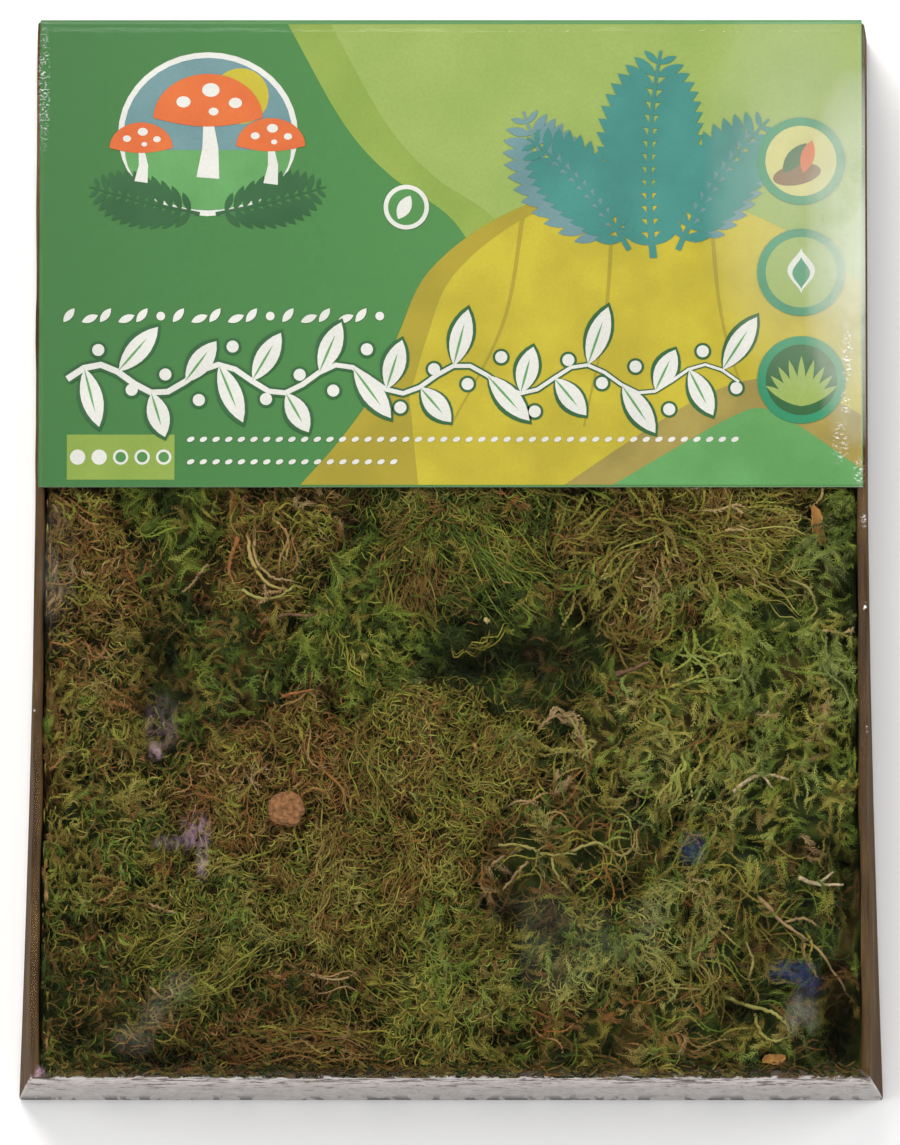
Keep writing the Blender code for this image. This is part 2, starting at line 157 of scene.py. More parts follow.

# Each tuft: its node, slot, middle, styles with their shares, flow of the strands, tones and lightness. A
# negative lightness is partly painted shade, for tufts that lie in hollows.
# A flow is (kind, angle in degrees or point, spread in degrees).
TUFTS = [
    ("rust_moss_01", "rusty_moss", (-0.0876, -0.0031), {"stem": 3, "curly": 4, "fuzz": 4},
     ("comb", -65, 55), {"brown": 4, "rust": 3, "olive": 5, "yellow": 2, "pale": 0.5}, 0.0),
    ("feather_moss_02", "feather_moss", (-0.0692, 0.0068), {"feather": 8, "stem": 1},
     ("tangle", 0, 60), {"green": 6, "bright": 3, "deep": 3, "olive": 1}, -0.08),
    ("rooty_moss_03", "rusty_moss", (-0.0459, -0.0018), {"stem": 3, "curly": 3, "feather": 3, "fuzz": 2},
     ("swirl", (-0.0450, -0.0010), 50), {"olive": 5, "brown": 4, "rust": 2, "yellow": 2, "pale": 0.5}, -0.03),
    ("feather_moss_04", "feather_moss", (-0.0214, -0.0154), {"feather": 8, "curly": 2, "fuzz": 1},
     ("comb", -70, 60), {"bright": 4, "green": 5, "yellow": 2, "deep": 1}, 0.02),
    ("hair_moss_05", "hair_moss", (0.0007, -0.0006), {"hair": 6, "fuzz": 4, "feather": 1.5},
     ("comb", -68, 30), {"green": 6, "olive": 4, "brown": 3, "bright": 2, "deep": 1}, -0.03),
    ("cord_moss_06", "cord_moss", (0.0462, -0.0055), {"cord": 6, "hair": 2, "fuzz": 2},
     ("rays", (0.0530, 0.0020), 40), {"olive": 7, "brown": 5, "yellow": 2, "green": 2, "pale": 0.3}, -0.06),
    ("hair_moss_07", "hair_moss", (0.0756, 0.0068), {"cord": 3, "hair": 6, "fuzz": 2},
     ("comb", -8, 26), {"yellow": 3, "olive": 6, "bright": 2, "brown": 4, "pale": 0.5}, 0.02),
    ("feather_moss_08", "feather_moss", (0.0953, -0.0031), {"feather": 9},
     ("comb", -80, 45), {"bright": 3, "green": 6, "deep": 2}, -0.02),
    ("feather_moss_09", "feather_moss", (0.0781, -0.0228), {"feather": 9, "cord": 1},
     ("comb", -55, 50), {"bright": 6, "green": 5, "yellow": 2}, 0.06),
    ("feather_moss_10", "feather_moss", (0.0511, -0.0425), {"feather": 7, "cord": 3},
     ("comb", -100, 50), {"green": 4, "bright": 2, "olive": 5, "yellow": 3, "brown": 2}, 0.04),
    ("feather_moss_11", "feather_moss", (0.0879, -0.0548), {"feather": 8, "curly": 2},
     ("comb", -75, 55), {"green": 5, "bright": 3, "yellow": 3, "olive": 3, "pale": 0.6}, 0.03),
    ("hollow_moss_12", "feather_moss", (0.0167, -0.0252), {"feather": 6, "hair": 3},
     ("comb", -20, 50), {"deep": 6, "green": 4, "olive": 2, "brown": 1}, -0.16),
    ("hair_moss_13", "hair_moss", (-0.0005, -0.0524), {"hair": 5, "fuzz": 5, "feather": 1},
     ("rays", (0.0120, -0.0330), 44), {"yellow": 5, "olive": 7, "brown": 4, "green": 1.5}, 0.02),
    ("feather_moss_14", "feather_moss", (-0.0876, -0.0351), {"feather": 4, "curly": 4, "stem": 1, "fuzz": 2},
     ("tangle", 0, 70), {"olive": 6, "green": 1, "brown": 5, "yellow": 2, "rust": 1}, 0.0),
    ("feather_moss_15", "feather_moss", (-0.0594, -0.0326), {"feather": 6, "curly": 3, "stem": 1},
     ("tangle", 0, 70), {"green": 4, "deep": 3, "olive": 5, "brown": 2}, -0.04),
    ("rust_moss_16", "rusty_moss", (-0.0471, -0.0548), {"stem": 3, "hair": 2, "fuzz": 3, "curly": 3},
     ("comb", -95, 60), {"brown": 6, "olive": 4, "rust": 4, "yellow": 1}, -0.01),
    ("curly_moss_17", "curly_moss", (-0.0840, -0.0746), {"curly": 6, "feather": 3, "fuzz": 2},
     ("tangle", 0, 80), {"olive": 5, "green": 4, "yellow": 2, "brown": 2}, 0.0),
    ("curly_moss_18", "curly_moss", (-0.0643, -0.0943), {"curly": 5, "hair": 2, "fuzz": 3},
     ("tangle", 0, 80), {"green": 4, "olive": 5, "yellow": 2, "brown": 1}, 0.0),
    ("hair_moss_19", "hair_moss", (-0.0226, -0.0819), {"hair": 4, "fuzz": 5, "curly": 2},
     ("comb", -120, 50), {"yellow": 3, "olive": 6, "green": 2, "brown": 4, "rust": 0.5}, 0.0),
    ("stem_moss_20", "stem_moss", (0.0290, -0.0770), {"stem": 7, "feather": 3},
     ("rays", (0.0260, -0.0700), 45), {"brown": 6, "olive": 5, "deep": 3, "green": 1, "pale": 0.6}, -0.04),
    ("feather_moss_21", "feather_moss", (0.0363, -0.0967), {"feather": 6, "hair": 2, "fuzz": 1.5},
     ("comb", -110, 50), {"green": 5, "deep": 1, "olive": 5, "bright": 1, "yellow": 2, "brown": 1}, 0.0),
    ("branch_moss_22", "branch_moss", (0.0805, -0.0943), {"feather": 6, "stem": 3},
     ("comb", -55, 50), {"green": 3, "olive": 5, "deep": 1, "yellow": 3, "brown": 2, "pale": 0.6}, -0.02),
    ("curly_moss_23", "curly_moss", (-0.0889, -0.1165), {"curly": 6, "stem": 2, "fuzz": 2},
     ("tangle", 0, 80), {"olive": 4, "deep": 4, "brown": 4, "green": 1, "rust": 1}, -0.12),
    ("stem_moss_24", "stem_moss", (-0.0373, -0.1226), {"stem": 3, "curly": 5, "fuzz": 3},
     ("comb", 2, 45), {"brown": 6, "rust": 2, "olive": 5, "deep": 4}, -0.19),
    ("feather_moss_25", "feather_moss", (-0.0005, -0.1066), {"feather": 5, "hair": 1.5, "fuzz": 2},
     ("comb", -100, 55), {"green": 4, "bright": 2, "olive": 5, "yellow": 2, "brown": 2}, 0.02),
    ("stem_moss_26", "stem_moss", (0.0462, -0.1214), {"stem": 6, "feather": 3},
     ("comb", -15, 35), {"brown": 5, "green": 2, "olive": 5, "rust": 1, "deep": 1}, -0.03),
    ("feather_moss_27", "feather_moss", (0.0903, -0.1214), {"feather": 7, "stem": 2},
     ("comb", -75, 55), {"deep": 4, "green": 3, "olive": 5, "brown": 2}, -0.08),
    ("hidden_moss_28", "feather_moss", (-0.0520, 0.0450), {"feather": 8},
     ("tangle", 0, 80), {"green": 5, "olive": 3}, -0.05),
    ("hidden_moss_29", "feather_moss", (0.0500, 0.0450), {"feather": 8},
     ("tangle", 0, 80), {"green": 5, "olive": 3}, -0.05),
    ("hidden_moss_30", "feather_moss", (-0.0500, 0.1000), {"feather": 8},
     ("tangle", 0, 80), {"green": 5, "olive": 3}, -0.05),
    ("hidden_moss_31", "feather_moss", (0.0520, 0.0980), {"feather": 8},
     ("tangle", 0, 80), {"green": 5, "olive": 3}, -0.05),
]
MIDDLES = np.array([tuft[2] for tuft in TUFTS])

# Hollows between the strands: middle, half size across, half size along and depth
HOLLOWS = [
    (0.0225, -0.0265, 0.0130, 0.0065, 0.0075),
    (0.0020, -0.0285, 0.0110, 0.0045, 0.0050),
    (-0.0690, -0.0270, 0.0075, 0.0085, 0.0072),
    (-0.0590, -0.0140, 0.0050, 0.0045, 0.0035),
    (-0.0290, -0.0378, 0.0030, 0.0062, 0.0060),
    (0.0320, -0.0170, 0.0040, 0.0040, 0.0040),
    (-0.0730, 0.0070, 0.0080, 0.0030, 0.0035),
    (-0.0250, 0.0050, 0.0030, 0.0070, 0.0030),
    (-0.0620, -0.1015, 0.0035, 0.0040, 0.0045),
    (-0.0920, -0.1210, 0.0055, 0.0045, 0.0055),
    (-0.0710, -0.1255, 0.0075, 0.0030, 0.0050),
    (-0.0240, -0.0970, 0.0050, 0.0045, 0.0030),
    (0.0145, -0.0870, 0.0032, 0.0060, 0.0040),
    (0.0540, -0.0680, 0.0032, 0.0030, 0.0045),
    (0.0465, -0.0820, 0.0030, 0.0030, 0.0040),
    (0.0745, -0.0970, 0.0038, 0.0070, 0.0050),
    (0.0690, -0.1140, 0.0055, 0.0040, 0.0055),
    (0.0845, -0.0755, 0.0030, 0.0030, 0.0035),
    (0.0965, -0.0790, 0.0030, 0.0060, 0.0045),
    (0.0970, -0.1190, 0.0055, 0.0120, 0.0110),
    (0.0719, -0.1083, 0.0036, 0.0100, 0.0050),
    (0.0990, -0.0860, 0.0030, 0.0120, 0.0050),
    (0.0216, -0.0992, 0.0070, 0.0070, 0.0026),
    (0.0855, -0.0400, 0.0035, 0.0030, 0.0035),
    (0.0930, -0.0510, 0.0035, 0.0035, 0.0040),
    (0.0970, -0.0130, 0.0030, 0.0060, 0.0040),
    (0.0370, -0.1260, 0.0045, 0.0035, 0.0040),
    (0.0120, -0.1210, 0.0090, 0.0025, 0.0035),
    (-0.0520, -0.0400, 0.0035, 0.0030, 0.0035),
    (-0.0830, -0.1295, 0.0170, 0.0020, 0.0050),
]

# Lighter and darker areas of the moss: middle, half size across, half size along and amount. The darker ones
# over hollows are painted shade.
AREAS = [
    (-0.0115, -0.0092, 0.0075, 0.0130, -0.20),
    (0.0903, 0.0030, 0.0090, 0.0110, 0.22),
    (0.0870, -0.0160, 0.0080, 0.0070, 0.12),
    (-0.0950, -0.0253, 0.0060, 0.0070, 0.10),
    (0.0658, -0.0302, 0.0130, 0.0080, 0.12),
    (0.0610, -0.0560, 0.0240, 0.0160, 0.12),
    (0.0570, -0.0900, 0.0120, 0.0260, 0.30),
    (-0.0740, -0.0560, 0.0080, 0.0080, 0.14),
    (-0.0496, -0.0770, 0.0100, 0.0080, 0.14),
    (0.0246, -0.0687, 0.0060, 0.0050, 0.10),
    (0.0290, -0.0860, 0.0070, 0.0080, -0.08),
    (0.0910, -0.1040, 0.0080, 0.0060, -0.10),
    (-0.0420, -0.0990, 0.0110, 0.0080, 0.12),
    (0.0265, -0.1080, 0.0180, 0.0080, 0.14),
    (-0.0850, -0.1115, 0.0070, 0.0050, 0.12),
    (0.0720, -0.1265, 0.0150, 0.0050, 0.14),
    (-0.0760, -0.1280, 0.0120, 0.0030, -0.12),
    (0.0400, 0.0060, 0.0060, 0.0060, -0.12),
    (-0.0950, -0.0060, 0.0070, 0.0160, -0.12),
    (0.0950, -0.0300, 0.0060, 0.0160, 0.14),
    (0.0880, -0.0560, 0.0080, 0.0080, 0.10),
    (0.0840, -0.1250, 0.0060, 0.0040, 0.12),
    (0.0970, -0.1190, 0.0060, 0.0130, -0.30),
    (0.0719, -0.1083, 0.0045, 0.0110, -0.16),
    (0.0990, -0.0880, 0.0040, 0.0150, -0.16),
    (0.0216, -0.0992, 0.0090, 0.0090, -0.08),
    (-0.0080, -0.0108, 0.0080, 0.0180, -0.05),
    (0.0420, -0.1060, 0.0180, 0.0070, 0.10),
    (0.0130, -0.1080, 0.0100, 0.0050, 0.08),
    (-0.0700, -0.0640, 0.0060, 0.0060, 0.10),
]

WHITE = (1.0, 1.0, 1.0)


def mix(low, high, share):
    return low + (high - low) * share


def share_between(value, low, high):
    return np.clip((value - low) / (high - low), 0, 1)


def half_width(y, z):
    """Half the tray's width outside, at a place along it and a height"""
    near = share_between(y, FLARE_START_Y, -BASE_LENGTH / 2) ** FLARE_POWER
    base = mix(BASE_WIDTH_FAR, BASE_WIDTH_NEAR, near) / 2
    rim = mix(RIM_WIDTH_FAR, RIM_WIDTH_NEAR, near) / 2
    return mix(base, rim, share_between(z, TRAY_BOTTOM, TRAY_TOP))


def half_length(z):
    return mix(BASE_LENGTH, RIM_LENGTH, share_between(z, TRAY_BOTTOM, TRAY_TOP)) / 2


def waves(x, y, size, seed):
    """Smooth random hills from about -1 to 1, whose wavelength is about SIZE"""
    rng = np.random.default_rng(seed)
    total = 0.0
    for _ in range(5):
        angle = rng.uniform(0, math.tau)
        phase = rng.uniform(0, math.tau)
        rate = math.tau / (size * rng.uniform(0.7, 1.6))
        total = total + np.sin((x * math.cos(angle) + y * math.sin(angle)) * rate + phase)
    return total / 2.4


def nearest_tufts(x, y):
    """The nearest tuft at each place, and how much nearer it is than the next one"""
    bent_x = x + BORDER_WANDER * waves(x, y, 0.011, 5)
    bent_y = y + BORDER_WANDER * waves(x, y, 0.011, 6)
    gaps = np.hypot(bent_x[..., None] - MIDDLES[:, 0], bent_y[..., None] - MIDDLES[:, 1])
    ranked = np.partition(gaps, 1, axis=-1)
    return gaps.argmin(axis=-1), ranked[..., 1] - ranked[..., 0]


def moss_height(x, y):
    """Height of the moss surface: lumps, valleys between tufts, and hollows"""
    _, lead = nearest_tufts(x, y)
    z = MOSS_TOP + LUMP_HEIGHT * waves(x, y, LUMP_SIZE, 1) + BUMP_HEIGHT * waves(x, y, BUMP_SIZE, 2)
    z = z - VALLEY_DEPTH * np.exp(-((lead / VALLEY_WIDTH) ** 2))
    for middle_x, middle_y, across, along, depth in HOLLOWS:
        z = z - depth * np.exp(-(((x - middle_x) / across) ** 2) - ((y - middle_y) / along) ** 2)
    return z


def area_light(x, y):
    """How much lighter than its tuft the moss is at a place, with painted shade over hollows"""
    total = 0.0
    for middle_x, middle_y, across, along, amount in AREAS:
        total = total + amount * np.exp(-(((x - middle_x) / across) ** 2) - ((y - middle_y) / along) ** 2)
    return total


def new_object(name, mesh, material, replaced=None):
    """An object of the part: it rides on the root and may stand for a CAD node"""
    thing = bpy.data.objects.new(name, mesh)
    bpy.context.scene.collection.objects.link(thing)
    thing.data.materials.append(material)
    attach(thing, "root")
    if replaced:
        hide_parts(replaced)
    return thing


# Materials


def new_material(name):
    material = bpy.data.materials.new(name)
    material.use_nodes = True
    return material, material.node_tree, material.node_tree.nodes["Principled BSDF"]


def add_node(tree, kind, inputs=None, **settings):
    node = tree.nodes.new("ShaderNode" + kind)
    for name, value in settings.items():
        setattr(node, name, value)
    for name, value in (inputs or {}).items():
        if isinstance(value, bpy.types.NodeSocket):
            tree.links.new(value, node.inputs[name])
        else:
            node.inputs[name].default_value = value
    return node


def add_ramp(tree, factor, stops):
    """A colour ramp through (place, colour) stops"""
    node = add_node(tree, "ValToRGB", {"Fac": factor})
    ramp = node.color_ramp
    while len(ramp.elements) < len(stops):
        ramp.elements.new(1.0)
    for element, (place, colour) in zip(ramp.elements, stops):
        element.position = place
        element.color = (*colour, 1.0)
    return node.outputs["Color"]


def mix_colours(tree, factor, first, second, blend="MIX"):
    node = add_node(tree, "Mix", data_type="RGBA", blend_type=blend)
    for socket, value in ((node.inputs[0], factor), (node.inputs[6], first), (node.inputs[7], second)):
        if isinstance(value, bpy.types.NodeSocket):
            tree.links.new(value, socket)
        else:
            socket.default_value = value
    return node.outputs[2]


def grey(value):
    return (value, value, value)


def stretched(tree, scales):
    """Object coordinates stretched along each axis"""
    place = add_node(tree, "TexCoord").outputs["Object"]
    return add_node(tree, "Mapping", {"Vector": place, "Scale": scales}).outputs["Vector"]


def add_noise(tree, vector, scale, detail=3.0, roughness=0.55):
    inputs = {"Vector": vector, "Scale": scale, "Detail": detail, "Roughness": roughness}
    return add_node(tree, "TexNoise", inputs).outputs["Fac"]


def add_bump(tree, shader, height, strength, distance):
    bump = add_node(tree, "Bump", {"Height": height, "Strength": strength, "Distance": distance})
    tree.links.new(bump.outputs["Normal"], shader.inputs["Normal"])


def moss_material(name, roughness):
    """The UV map holds each vertex's tone across and its lightness up; the lightness is partly painted shade
    """
    material, tree, shader = new_material(name)
    place = add_node(tree, "UVMap", uv_map="OFBake").outputs["UV"]
    parts = add_node(tree, "SeparateXYZ", {"Vector": place}).outputs
    colour = add_ramp(tree, parts["X"], [TONES[key] for key in TONES])
    # The lightness ramp multiplies the colour; its low end is painted shade on low strands, roots and the mat
    light = add_ramp(tree, parts["Y"], [(0.0, grey(0.16)), (0.35, grey(0.58)),
                                        (0.7, grey(1.0)), (1.0, grey(1.35))])
    spots = add_node(tree, "Mapping", {"Vector": place, "Scale": (90.0, 14.0, 1.0)}).outputs["Vector"]
    mottle = add_noise(tree, spots, 1.0, 2.0)
    fleck = add_ramp(tree, mottle, [(0.3, (0.80, 0.82, 0.80)), (0.7, (1.16, 1.10, 1.0))])
    colour = mix_colours(tree, 1.0, colour, light, "MULTIPLY")
    colour = mix_colours(tree, 1.0, colour, fleck, "MULTIPLY")
    # Painted highlight: the lightest parts of the moss turn paler
    highlight_share = add_ramp(tree, parts["Y"], [(0.66, grey(0.0)), (0.95, grey(0.55))])
    colour = mix_colours(tree, highlight_share, colour, MOSS_HIGHLIGHT_COLOUR)
    tree.links.new(colour, shader.inputs["Base Color"])
    shader.inputs["Roughness"].default_value = roughness
    shader.inputs["Specular IOR Level"].default_value = 0.10
    return material


def kraft_material():
    """Brown board: long fibres and streaks that run along the walls"""
    material, tree, shader = new_material("kraft_board")
    along = stretched(tree, (1.0, 0.06, 1.0))
    streaks = add_noise(tree, along, 420.0, 4.0, 0.6)
    fibres = add_noise(tree, stretched(tree, (1.0, 0.35, 1.0)), 1500.0, 2.0)
    blotches = add_noise(tree, stretched(tree, (1.0, 1.0, 1.0)), 60.0, 4.0)
    colour = add_ramp(tree, streaks, [(0.30, (0.034, 0.017, 0.005)), (0.55, (0.080, 0.045, 0.014)),
                                      (0.75, (0.180, 0.115, 0.055))])
    shades = add_ramp(tree, fibres, [(0.3, grey(0.78)), (0.7, grey(1.20))])
    dirt = add_ramp(tree, blotches, [(0.3, (0.70, 0.66, 0.62)), (0.65, (1.10, 1.08, 1.05))])
    colour = mix_colours(tree, 1.0, colour, shades, "MULTIPLY")
    colour = mix_colours(tree, 1.0, colour, dirt, "MULTIPLY")
    tree.links.new(colour, shader.inputs["Base Color"])
    shader.inputs["Roughness"].default_value = 0.85
    shader.inputs["Specular IOR Level"].default_value = 0.1
    add_bump(tree, shader, streaks, 0.4, 0.0003)
    return material


def white_ply_material():
    """White outer ply of the near wall, with a painted highlight along its top edge: brown where it is torn
    at the rim, dark on its lower fold
    """
    material, tree, shader = new_material("white_ply")
    streaks = add_noise(tree, stretched(tree, (1.0, 0.5, 0.5)), 330.0, 5.0, 0.7)
    colour = add_ramp(tree, streaks, [(0.25, (0.27, 0.24, 0.225)), (0.5, (0.37, 0.34, 0.325)),
                                      (0.75, (0.46, 0.435, 0.42))])
    place = add_node(tree, "TexCoord").outputs["Object"]
    along = add_node(tree, "SeparateXYZ", {"Vector": place}).outputs["Y"]
    rim = -RIM_LENGTH / 2
    limits = {"Value": along, "From Min": rim - 0.0022, "From Max": rim + 0.0008}
    inward = add_node(tree, "MapRange", limits).outputs["Result"]
    # Painted highlight: the ply grows brighter towards the rim's top edge
    bright = add_ramp(tree, inward, [(0.42, grey(1.0)), (0.66, grey(1.45))])
    colour = mix_colours(tree, 1.0, colour, bright, "MULTIPLY")
    torn = add_noise(tree, stretched(tree, (0.34, 1.0, 1.0)), 620.0, 4.0, 0.7)
    peaks = add_ramp(tree, torn, [(0.46, grey(0.0)), (0.68, grey(1.0))])
    spread = add_node(tree, "Math", {0: peaks, 1: 0.75}, operation="MULTIPLY").outputs[0]
    mask = add_node(tree, "Math", {0: inward, 1: spread}, operation="ADD").outputs[0]
    bare = add_ramp(tree, mask, [(0.86, grey(0.0)), (0.92, grey(1.0))])
    board = add_ramp(tree, streaks, [(0.3, (0.030, 0.018, 0.009)), (0.7, (0.120, 0.074, 0.040))])
    colour = mix_colours(tree, bare, colour, board)
    base = -BASE_LENGTH / 2
    limits = {"Value": along, "From Min": base + 0.0001, "From Max": base + 0.0005}
    outward = add_node(tree, "MapRange", {**limits, "To Min": 1.0, "To Max": 0.0}).outputs["Result"]
    dashes = add_noise(tree, stretched(tree, (1.0, 0.2, 0.2)), 330.0, 2.0)
    dashes = add_ramp(tree, dashes, [(0.49, grey(0.0)), (0.54, grey(1.0))])
    fold = add_node(tree, "Math", {0: outward, 1: dashes}, operation="MULTIPLY").outputs[0]
    colour = mix_colours(tree, fold, colour, (0.060, 0.050, 0.048, 1.0))
    tree.links.new(colour, shader.inputs["Base Color"])
    shader.inputs["Roughness"].default_value = 0.6
    add_bump(tree, shader, torn, 0.5, 0.0003)
    return material


def card_material():
    """Printed card: a green ground that grows lighter across, white paper on its cut edges"""
    material, tree, shader = new_material("header_card_print")
    place = add_node(tree, "TexCoord").outputs["Object"]
    parts = add_node(tree, "SeparateXYZ", {"Vector": place}).outputs
    wide = {"Value": parts["X"], "From Min": -CARD_WIDTH / 2, "From Max": CARD_WIDTH / 2}
    across = add_node(tree, "MapRange", wide).outputs["Result"]
    ground = add_ramp(tree, across, [(0.0, (0.030, 0.128, 0.029)), (0.4, (0.044, 0.172, 0.040)),
                                     (1.0, (0.080, 0.230, 0.072))])
    paper = add_noise(tree, place, 900.0, 3.0)
    shades = add_ramp(tree, paper, [(0.3, grey(0.95)), (0.7, grey(1.04))])
    ground = mix_colours(tree, 1.0, ground, shades, "MULTIPLY")
    normal = add_node(tree, "NewGeometry").outputs["Normal"]
    up = add_node(tree, "SeparateXYZ", {"Vector": normal}).outputs["Z"]
    inked = add_ramp(tree, up, [(0.45, grey(0.0)), (0.55, grey(1.0))])
    colour = mix_colours(tree, inked, (0.62, 0.62, 0.58, 1.0), ground)
    tree.links.new(colour, shader.inputs["Base Color"])
    shader.inputs["Roughness"].default_value = 0.42
    shader.inputs["Specular IOR Level"].default_value = 0.35
    return material


def ink_material(name, first, second, scale=(60.0, 60.0, 60.0)):
    """Flat print in one ink, with a soft drift between two shades and fine grain"""
    material, tree, shader = new_material("ink_" + name)
    drift = add_noise(tree, stretched(tree, scale), 1.0, 2.0)
    grain = add_noise(tree, stretched(tree, (1.0, 1.0, 1.0)), 1400.0, 2.0)
    colour = add_ramp(tree, drift, [(0.35, first), (0.65, second)])
    shades = add_ramp(tree, grain, [(0.3, grey(0.95)), (0.7, grey(1.05))])
    colour = mix_colours(tree, 1.0, colour, shades, "MULTIPLY")
    tree.links.new(colour, shader.inputs["Base Color"])
    shader.inputs["Roughness"].default_value = 0.42
    shader.inputs["Specular IOR Level"].default_value = 0.35
    return material


def film_material():
    """Clear film: it mirrors a little, more where its wrinkles turn away"""
    material, tree, principled = new_material("clear_film")
    tree.nodes.remove(principled)
    clear = add_node(tree, "BsdfTransparent", {"Color": (0.985, 0.985, 0.985, 1.0)})
    wrinkles = add_noise(tree, stretched(tree, (1.0, 0.7, 1.0)), 70.0, 2.0, 0.55)
    bump = add_node(tree, "Bump", {"Height": wrinkles, "Strength": 0.5, "Distance": 0.0012})
    mirror = add_node(tree, "BsdfGlossy", {"Roughness": 0.07, "Normal": bump.outputs["Normal"]})
    fresnel = add_node(tree, "Fresnel", {"IOR": 1.22, "Normal": bump.outputs["Normal"]}).outputs[0]
    capped = add_node(tree, "Math", {0: fresnel, 1: FILM_MIRROR}, operation="MINIMUM").outputs[0]
    skin = add_node(tree, "MixShader", {0: capped, 1: clear.outputs[0], 2: mirror.outputs[0]})
    tree.links.new(skin.outputs[0], tree.nodes["Material Output"].inputs["Surface"])
    return material


def reflection_material(name, colour, stretch, scale, low, high):
    """Painted reflections and glints on the film: streaks of one colour, as strong as the mesh's amount says
    """
    material, tree, principled = new_material(name)
    tree.nodes.remove(principled)
    clear = add_node(tree, "BsdfTransparent").outputs[0]
    # A diffuse colour that paints a reflection or glint
    painted_reflection = add_node(tree, "BsdfDiffuse", {"Color": (*colour, 1.0)}).outputs[0]
    streaks = add_noise(tree, stretched(tree, stretch), scale, 4.0, 0.6)
    torn = add_ramp(tree, streaks, [(low, grey(0.0)), (high, grey(1.0))])
    amount = add_node(tree, "Attribute", attribute_name="amount").outputs["Fac"]
    share = add_node(tree, "Math", {0: amount, 1: torn}, operation="MULTIPLY").outputs[0]
    both = add_node(tree, "MixShader", {0: share, 1: clear, 2: painted_reflection}).outputs[0]
    tree.links.new(both, tree.nodes["Material Output"].inputs["Surface"])
    return material


def woody_material(name, dark, light, stretch, scale, roughness=0.75):
    """Bark, twigs and dry leaves: fibres drawn out along one axis"""
    material, tree, shader = new_material(name)
    fibres = add_noise(tree, stretched(tree, stretch), scale, 4.0, 0.65)
    colour = add_ramp(tree, fibres, [(0.32, dark), (0.68, light)])
    tree.links.new(colour, shader.inputs["Base Color"])
    shader.inputs["Roughness"].default_value = roughness
    shader.inputs["Specular IOR Level"].default_value = 0.15
    add_bump(tree, shader, fibres, 0.6, 0.0004)
    return material


def floor_material():
    material, tree, shader = new_material("pale_floor")
    cloud = add_noise(tree, stretched(tree, (1.0, 1.0, 1.0)), 3.0, 2.0)
    colour = add_ramp(tree, cloud, [(0.3, (0.90, 0.90, 0.90)), (0.7, (0.92, 0.92, 0.92))])
    tree.links.new(colour, shader.inputs["Base Color"])
    shader.inputs["Roughness"].default_value = 0.9
    return material


# Camera, light and floor


def add_camera():
    forward = (CAMERA_TARGET - CAMERA_PLACE).normalized()
    right = (Vector((1, 0, 0)) - forward * forward.x).normalized()
    up = right.cross(forward)
    data = bpy.data.cameras.new("camera")
    data.sensor_width = SENSOR_SIZE
    data.lens = FOCAL_PIXELS / PHOTO_SIZE[1] * SENSOR_SIZE
    camera = bpy.data.objects.new("camera", data)
    turn = Matrix((right, up, -forward)).transposed()
    camera.matrix_world = Matrix.Translation(CAMERA_PLACE) @ turn.to_4x4()
    bpy.context.scene.collection.objects.link(camera)
    bpy.context.scene.camera = camera


def add_area_light(name, place, size, power, colour=WHITE):
    data = bpy.data.lights.new(name, "AREA")
    data.size = size
    data.energy = power
    data.color = colour
    lamp = bpy.data.objects.new(name, data)
    lamp.location = place
    lamp.rotation_euler = (-Vector(place)).to_track_quat("-Z", "Y").to_euler()
    bpy.context.scene.collection.objects.link(lamp)


def add_light():
    add_area_light("key", (-0.45, 1.15, 1.45), 0.95, 28.5, (1.0, 0.97, 0.93))
    add_area_light("fill_left", (-1.50, -0.20, 1.10), 1.2, 14.0)
    add_area_light("fill_right", (1.50, 0.20, 1.10), 1.2, 16.0)
    add_area_light("front", (0.20, -1.60, 1.00), 1.2, 8.0)
    world = bpy.data.worlds.new("studio")
    world.use_nodes = True
    background = world.node_tree.nodes["Background"]
    background.inputs["Color"].default_value = (1.0, 1.0, 1.0, 1.0)
    background.inputs["Strength"].default_value = 0.42
    bpy.context.scene.world = world
    bpy.context.scene.view_settings.view_transform = "Standard"


def add_floor():
    mesh = bpy.data.meshes.new("floor")
    work = bmesh.new()
    bmesh.ops.create_grid(work, x_segments=1, y_segments=1, size=3.0)
    work.to_mesh(mesh)
    work.free()
    floor = bpy.data.objects.new("floor", mesh)
    bpy.context.scene.collection.objects.link(floor)
    mesh.materials.append(floor_material())


# The film's mirror strength, and the sheets of painted reflections and glints over the film
FILM_MIRROR = 0.006
MARK_CELL = 0.0030
MARK_CUTS = 9
MARK_RISE = 0.00008
MARK_STEP = 0.00001

